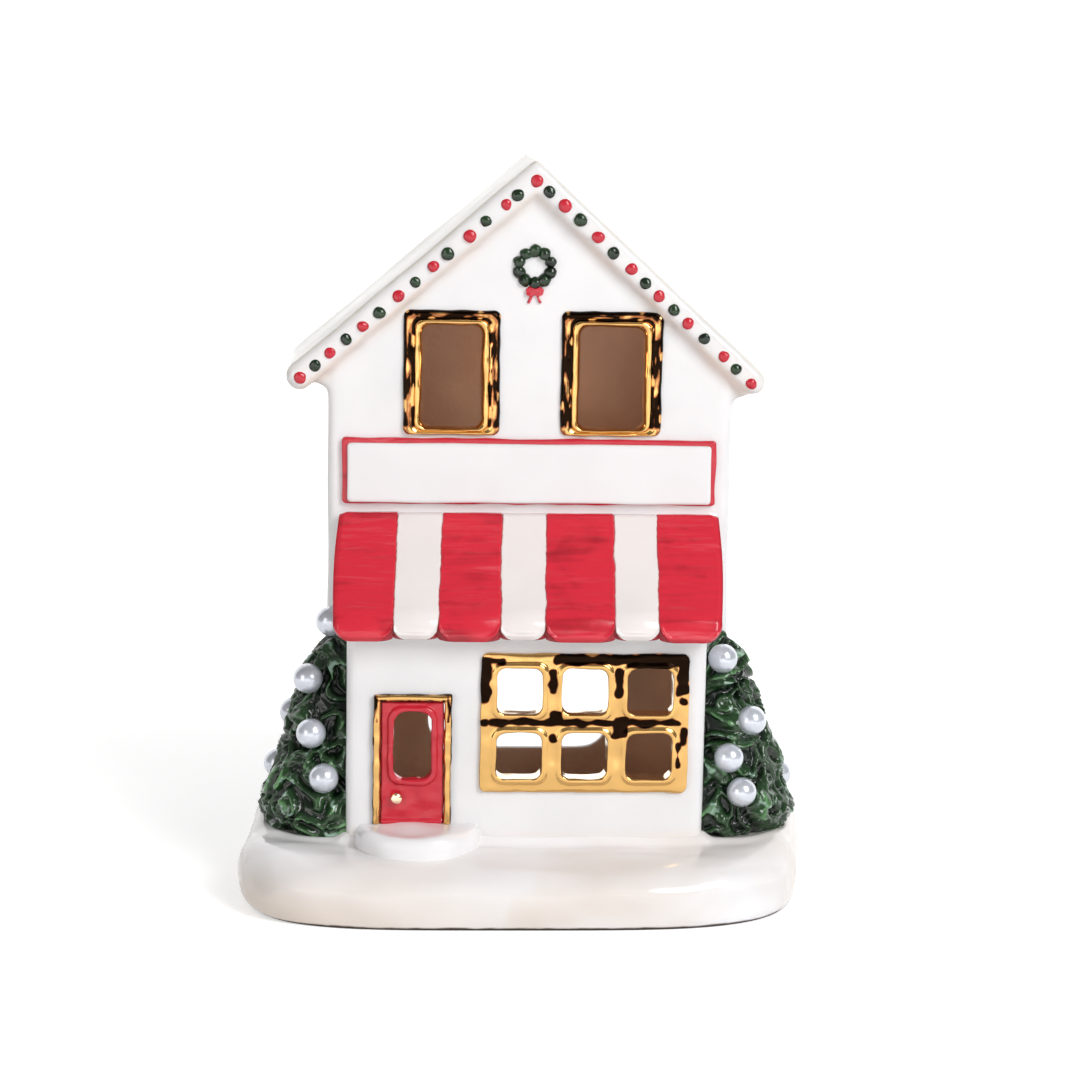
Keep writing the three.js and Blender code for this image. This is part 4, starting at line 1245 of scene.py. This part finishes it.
# wreath of dabs, with its bow
wreath = {
    "x": 0.35,
    "z": 150.58,
    "radius": 4.3,
    "dabs": 10,
    "bead": {"size": (1.68, 1.4), "variation": 0.09, "seed": 2, "fineness": (24, 14), "wobble": (0.35, 1.6)},
    "bowDrop": 2.3,
    "loop": ((0, 0.9), (1.3, 1.3), (2.3, 0.7), (2.2, -0.7), (1.2, -1.2), (0, -0.9)),
    "tail": ((0.1, -0.4), (0.9, -0.7), (2.0, -2.9), (1.3, -3.0)),
    "bowWobble": (0.3, 1.4, 2.0),
}


def makeWreath():
    x, z, radius = wreath["x"], wreath["z"], wreath["radius"]
    turns = [2 * math.pi * (i + 0.5) / wreath["dabs"] for i in range(wreath["dabs"])]
    spots = [(x + radius * math.cos(t), -0.2, z + radius * math.sin(t)) for t in turns]
    ring = growBeads("wreathRing", spots, houseOrigin, wreath["bead"], greenGlaze)
    finishPiece(ring, [greenGlaze], ["wreath"])
    z -= radius + wreath["bowDrop"]
    solids = []
    for side in (-1, 1):
        for label, front in (("loop", -1.1), ("tail", -0.7)):
            outline = [(x + side * u, z + v) for u, v in wreath[label]]
            solids.append(prism(outline, "y", front, 0.2, houseOrigin))
    bow = wobble(fuse("wreathBow", solids, 0.16, 4), *wreath["bowWobble"])
    finishPiece(bow, [redGlaze], ["wreath_bow"])


makeWreath()


# trees: clay cones pinched into swirling ridges
treeShapes = {
    "left": {"side": -1, "height": 57.5, "top": 52.0, "radius": 20.3, "taper": 0.79, "seed": 3},
    "right": {"side": 1, "height": 54.6, "top": 53.6, "radius": 21.5, "taper": 0.72, "seed": 8},
}
treePlace = {"x": 52.6, "y": -2.0, "foot": -0.8, "turns": 280, "levels": 132}
treeSwirl = {"swing": 6.0, "swingSize": 8.0, "ridge": 5.6, "lump": 2.4, "lumpSize": 9.5, "height": 2.7, "sink": 1.8}


def treeRadius(shape, z):
    u = min(z / shape["height"], 1)
    tuck = 0.2 * max(0, 1 - u / 0.12) ** 2
    return shape["radius"] * (1 - u) ** shape["taper"] * (1 - tuck)


def swirl(spot, seed):
    # 0 in the hollows, 1 on the ridges
    q = spot / treeSwirl["swingSize"] + Vector((seed, 0, 0))
    shift = Vector([noise.noise(q + Vector(away)) for away in ((0, 0, 0), (7, 3, 1), (2, 9, 5))])
    warped = (spot + shift * treeSwirl["swing"]) / treeSwirl["ridge"]
    broad = 1 - min(1, abs(noise.noise(warped)) * 2.4)
    fine = 1 - min(1, abs(noise.noise(warped * 2.3 + Vector((4, 4, seed)))) * 2.2)
    return 0.78 * smooth(broad) + 0.22 * smooth(fine)


def makeTree(side):
    shape, foot, turns, levels = treeShapes[side], treePlace["foot"], treePlace["turns"], treePlace["levels"]
    points, relief = [], []
    centre = Vector((shape["side"] * treePlace["x"], treePlace["y"], 0))
    for k in range(levels + 1):
        z = foot + (shape["top"] + 0.3) * k / levels
        dome = max(0, (z - shape["top"] + 4.5) / 4.5)
        for i in range(turns):
            angle = 2 * math.pi * i / turns
            r = treeRadius(shape, max(z, 0)) * math.sqrt(max(0.0, 1 - dome ** 2)) if dome < 1 else 0.0
            flat = Vector((r * math.cos(angle), r * math.sin(angle), z))
            ridge = swirl(flat + Vector((40, 0, 0)) * shape["side"], shape["seed"])
            lump = noise.noise(flat / treeSwirl["lumpSize"] + Vector((0, shape["seed"], 0)))
            swell = treeSwirl["height"] * ridge + treeSwirl["lump"] * lump - treeSwirl["sink"]
            out = Vector((math.cos(angle), math.sin(angle), 0.25 - 0.5 * ridge))
            spot = flat + out * swell * min(1, 0.25 + r / 5)
            if z < 0:
                spot.z = z
            points.append(centre + spot)
            relief.append(ridge * 0.85 + 0.25 * lump)
    faces, last = gridFaces(levels + 1, turns, False, True), levels * turns
    for i in range(turns):
        j = (i + 1) % turns
        faces += [(len(points), i, j), (last + j, last + i, len(points) + 1)]
    points += [centre + Vector((0, 0, foot)), centre + Vector((0, 0, shape["top"] - 0.4))]
    obj = meshFrom(side + "Tree", points, faces, houseOrigin)
    paint(obj, "relief", relief + [0.3, 0.5])
    outwards(obj)
    carve([obj], [block(-52.9, 52.9, 1.2, 45, -20, 90, houseOrigin), block(-46, 46, 1.4, 30, -20, 90, shopOrigin)])
    finishPiece(obj, [treeGlaze], [side + "_tree"])


makeTree("left")
makeTree("right")


# pearls at the middles of their CAD nodes
pearls = {
    "counts": {"left": 9, "right": 8},
    "bead": {"size": (4.0, 4.0), "variation": 0.0, "seed": 1, "fineness": (40, 24), "wobble": (0.0, 1.0)},
}


def makePearls():
    for side, count in pearls["counts"].items():
        names = ["%s_pearl_%d" % (side, i + 1) for i in range(count)]
        centres = [sum(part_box(name), Vector()) / 2 / mm for name in names]
        obj = growBeads(side + "Pearls", centres, Vector(), pearls["bead"], pearlCoat)
        finishPiece(obj, [pearlCoat], names)


makePearls()


# camera, floor and light; lamps are placed in metres
camera = {"place": (-39.816, -762.954, 228.158), "turn": 0.05585, "tilt": 0.17453, "roll": 0.0174132, "lens": 96.0}
backdrop = {"half": 3500, "front": -3000, "bend": 900, "radius": 600, "height": 3000}
glow = {"From Min": 0.10, "From Max": 0.65, "To Min": 0.55, "To Max": 1.0}
sky = {"From Min": 0.1, "From Max": 0.8, "To Min": 0.34, "To Max": 0.26}
plain, warm, warmer = (1, 1, 1), (1.0, 0.975, 0.955), (1.0, 0.96, 0.91)
lamps = {
    "keyLight": {"place": (0.70, -0.90, 0.82), "aim": 0.09, "size": (0.55, 0.75), "energy": 12.6, "colour": plain},
    "fillLight": {"place": (-0.95, -0.95, 0.35), "aim": 0.09, "size": (0.6, 0.8), "energy": 3.1, "colour": warmer},
    "frontLight": {"place": (-0.15, -1.35, 0.10), "aim": 0.06, "size": (1.3, 0.5), "energy": 2.6, "colour": warm},
    "backLight": {"place": (0.30, 0.85, 0.22), "aim": 0.08, "size": (0.9, 0.35), "energy": 2.6, "colour": plain},
}
innerLamp = {"place": (0.0, 0.009, 0.138), "energy": 0.005, "colour": (1.0, 0.62, 0.38), "radius": 0.004}


def makeCamera():
    data = bpy.data.cameras.new("camera")
    data.lens = camera["lens"]
    data.sensor_width = 36.0
    data.clip_start = 0.01
    obj = newObject("camera", data)
    a, e, r = camera["turn"], camera["tilt"], camera["roll"]
    ahead = Vector((math.sin(a) * math.cos(e), math.cos(a) * math.cos(e), -math.sin(e)))
    right = Vector((math.cos(a), -math.sin(a), 0))
    up = right.cross(ahead)
    imageRight = right * math.cos(r) + up * math.sin(r)
    imageUp = up * math.cos(r) - right * math.sin(r)
    turn = Matrix((imageRight, imageUp, -ahead)).transposed().to_4x4()
    obj.matrix_world = Matrix.Translation(Vector(camera["place"]) * mm) @ turn
    scene.camera = obj


def makeStage():
    half, bend, radius = backdrop["half"], backdrop["bend"], backdrop["radius"]
    sweep = [(backdrop["front"], 0), (bend, 0)]
    for turn in (i / 12 * math.pi / 2 for i in range(1, 13)):
        sweep.append((bend + radius * math.sin(turn), radius * (1 - math.cos(turn))))
    sweep.append((bend + radius, backdrop["height"]))
    points = [(x, y, z) for y, z in sweep for x in (-half, half)]
    faces = [(2 * i, 2 * i + 1, 2 * i + 3, 2 * i + 2) for i in range(len(sweep) - 1)]
    floor = meshFrom("backdrop", points, faces)
    finish = Finish("backdropWhite", 0.9)
    finish.shader["Base Color"].default_value = dimmed("backdrop")
    finish.shader["Specular IOR Level"].default_value = 0.1
    # camera and glossy rays see a white that is dimmer near the piece, so the shadow shows
    away = finish.node("ShaderNodeVectorMath", {0: finish.place}, operation="LENGTH").outputs["Value"]
    far = finish.node("ShaderNodeMapRange", {"Value": away, **glow}).outputs["Result"]
    path = finish.node("ShaderNodeLightPath").outputs
    seen = finish.combine("MAXIMUM", path["Is Camera Ray"], path["Is Glossy Ray"])
    dark, bright = (finish.node("ShaderNodeEmission", {"Strength": strength}).outputs[0] for strength in (0.0, far))
    pick = finish.node("ShaderNodeMixShader", {0: seen, 1: dark, 2: bright}).outputs[0]
    nodes = finish.tree.nodes
    total = finish.node("ShaderNodeAddShader", {0: pick, 1: nodes["Principled BSDF"].outputs[0]})
    finish.tree.links.new(total.outputs[0], nodes["Material Output"].inputs["Surface"])
    floor.data.materials.append(finish.material)


def makeLights():
    for name, lamp in lamps.items():
        data = bpy.data.lights.new(name, "AREA")
        data.shape = "RECTANGLE"
        data.size, data.size_y = lamp["size"]
        data.energy = lamp["energy"]
        data.color = lamp["colour"]
        obj = newObject(name, data)
        obj.location = lamp["place"]
        aim = Vector((0, 0, lamp["aim"])) - Vector(lamp["place"])
        obj.rotation_euler = aim.to_track_quat("-Z", "Y").to_euler()
        if name == "backLight":
            obj.visible_camera = obj.visible_glossy = False
    data = bpy.data.lights.new("innerLight", "POINT")
    data.energy = innerLamp["energy"]
    data.color = innerLamp["colour"]
    data.shadow_soft_size = innerLamp["radius"]
    obj = newObject("innerLight", data)
    obj.location = innerLamp["place"]
    obj.visible_camera = False


def makeWorld():
    # a soft sky that the camera sees as plain white past the backdrop
    world = bpy.data.worlds.new("studio")
    scene.world = world
    world.use_nodes = True
    tree = world.node_tree
    background = tree.nodes["Background"]
    background.inputs["Color"].default_value = (1, 1, 1, 1)
    heading = addNode(tree, "ShaderNodeTexCoord").outputs["Generated"]
    upward = addNode(tree, "ShaderNodeSeparateXYZ", {"Vector": heading}).outputs["Z"]
    soft = addNode(tree, "ShaderNodeMapRange", {"Value": upward, **sky}).outputs["Result"]
    seen = addNode(tree, "ShaderNodeLightPath").outputs["Is Camera Ray"]
    strength = addNode(tree, "ShaderNodeMath", {0: soft, 1: seen}, operation="MAXIMUM").outputs[0]
    tree.links.new(strength, background.inputs["Strength"])


makeCamera()
makeStage()
makeLights()
makeWorld()
print("camera, stage and lamps made")
scene.view_settings.view_transform = "Standard"
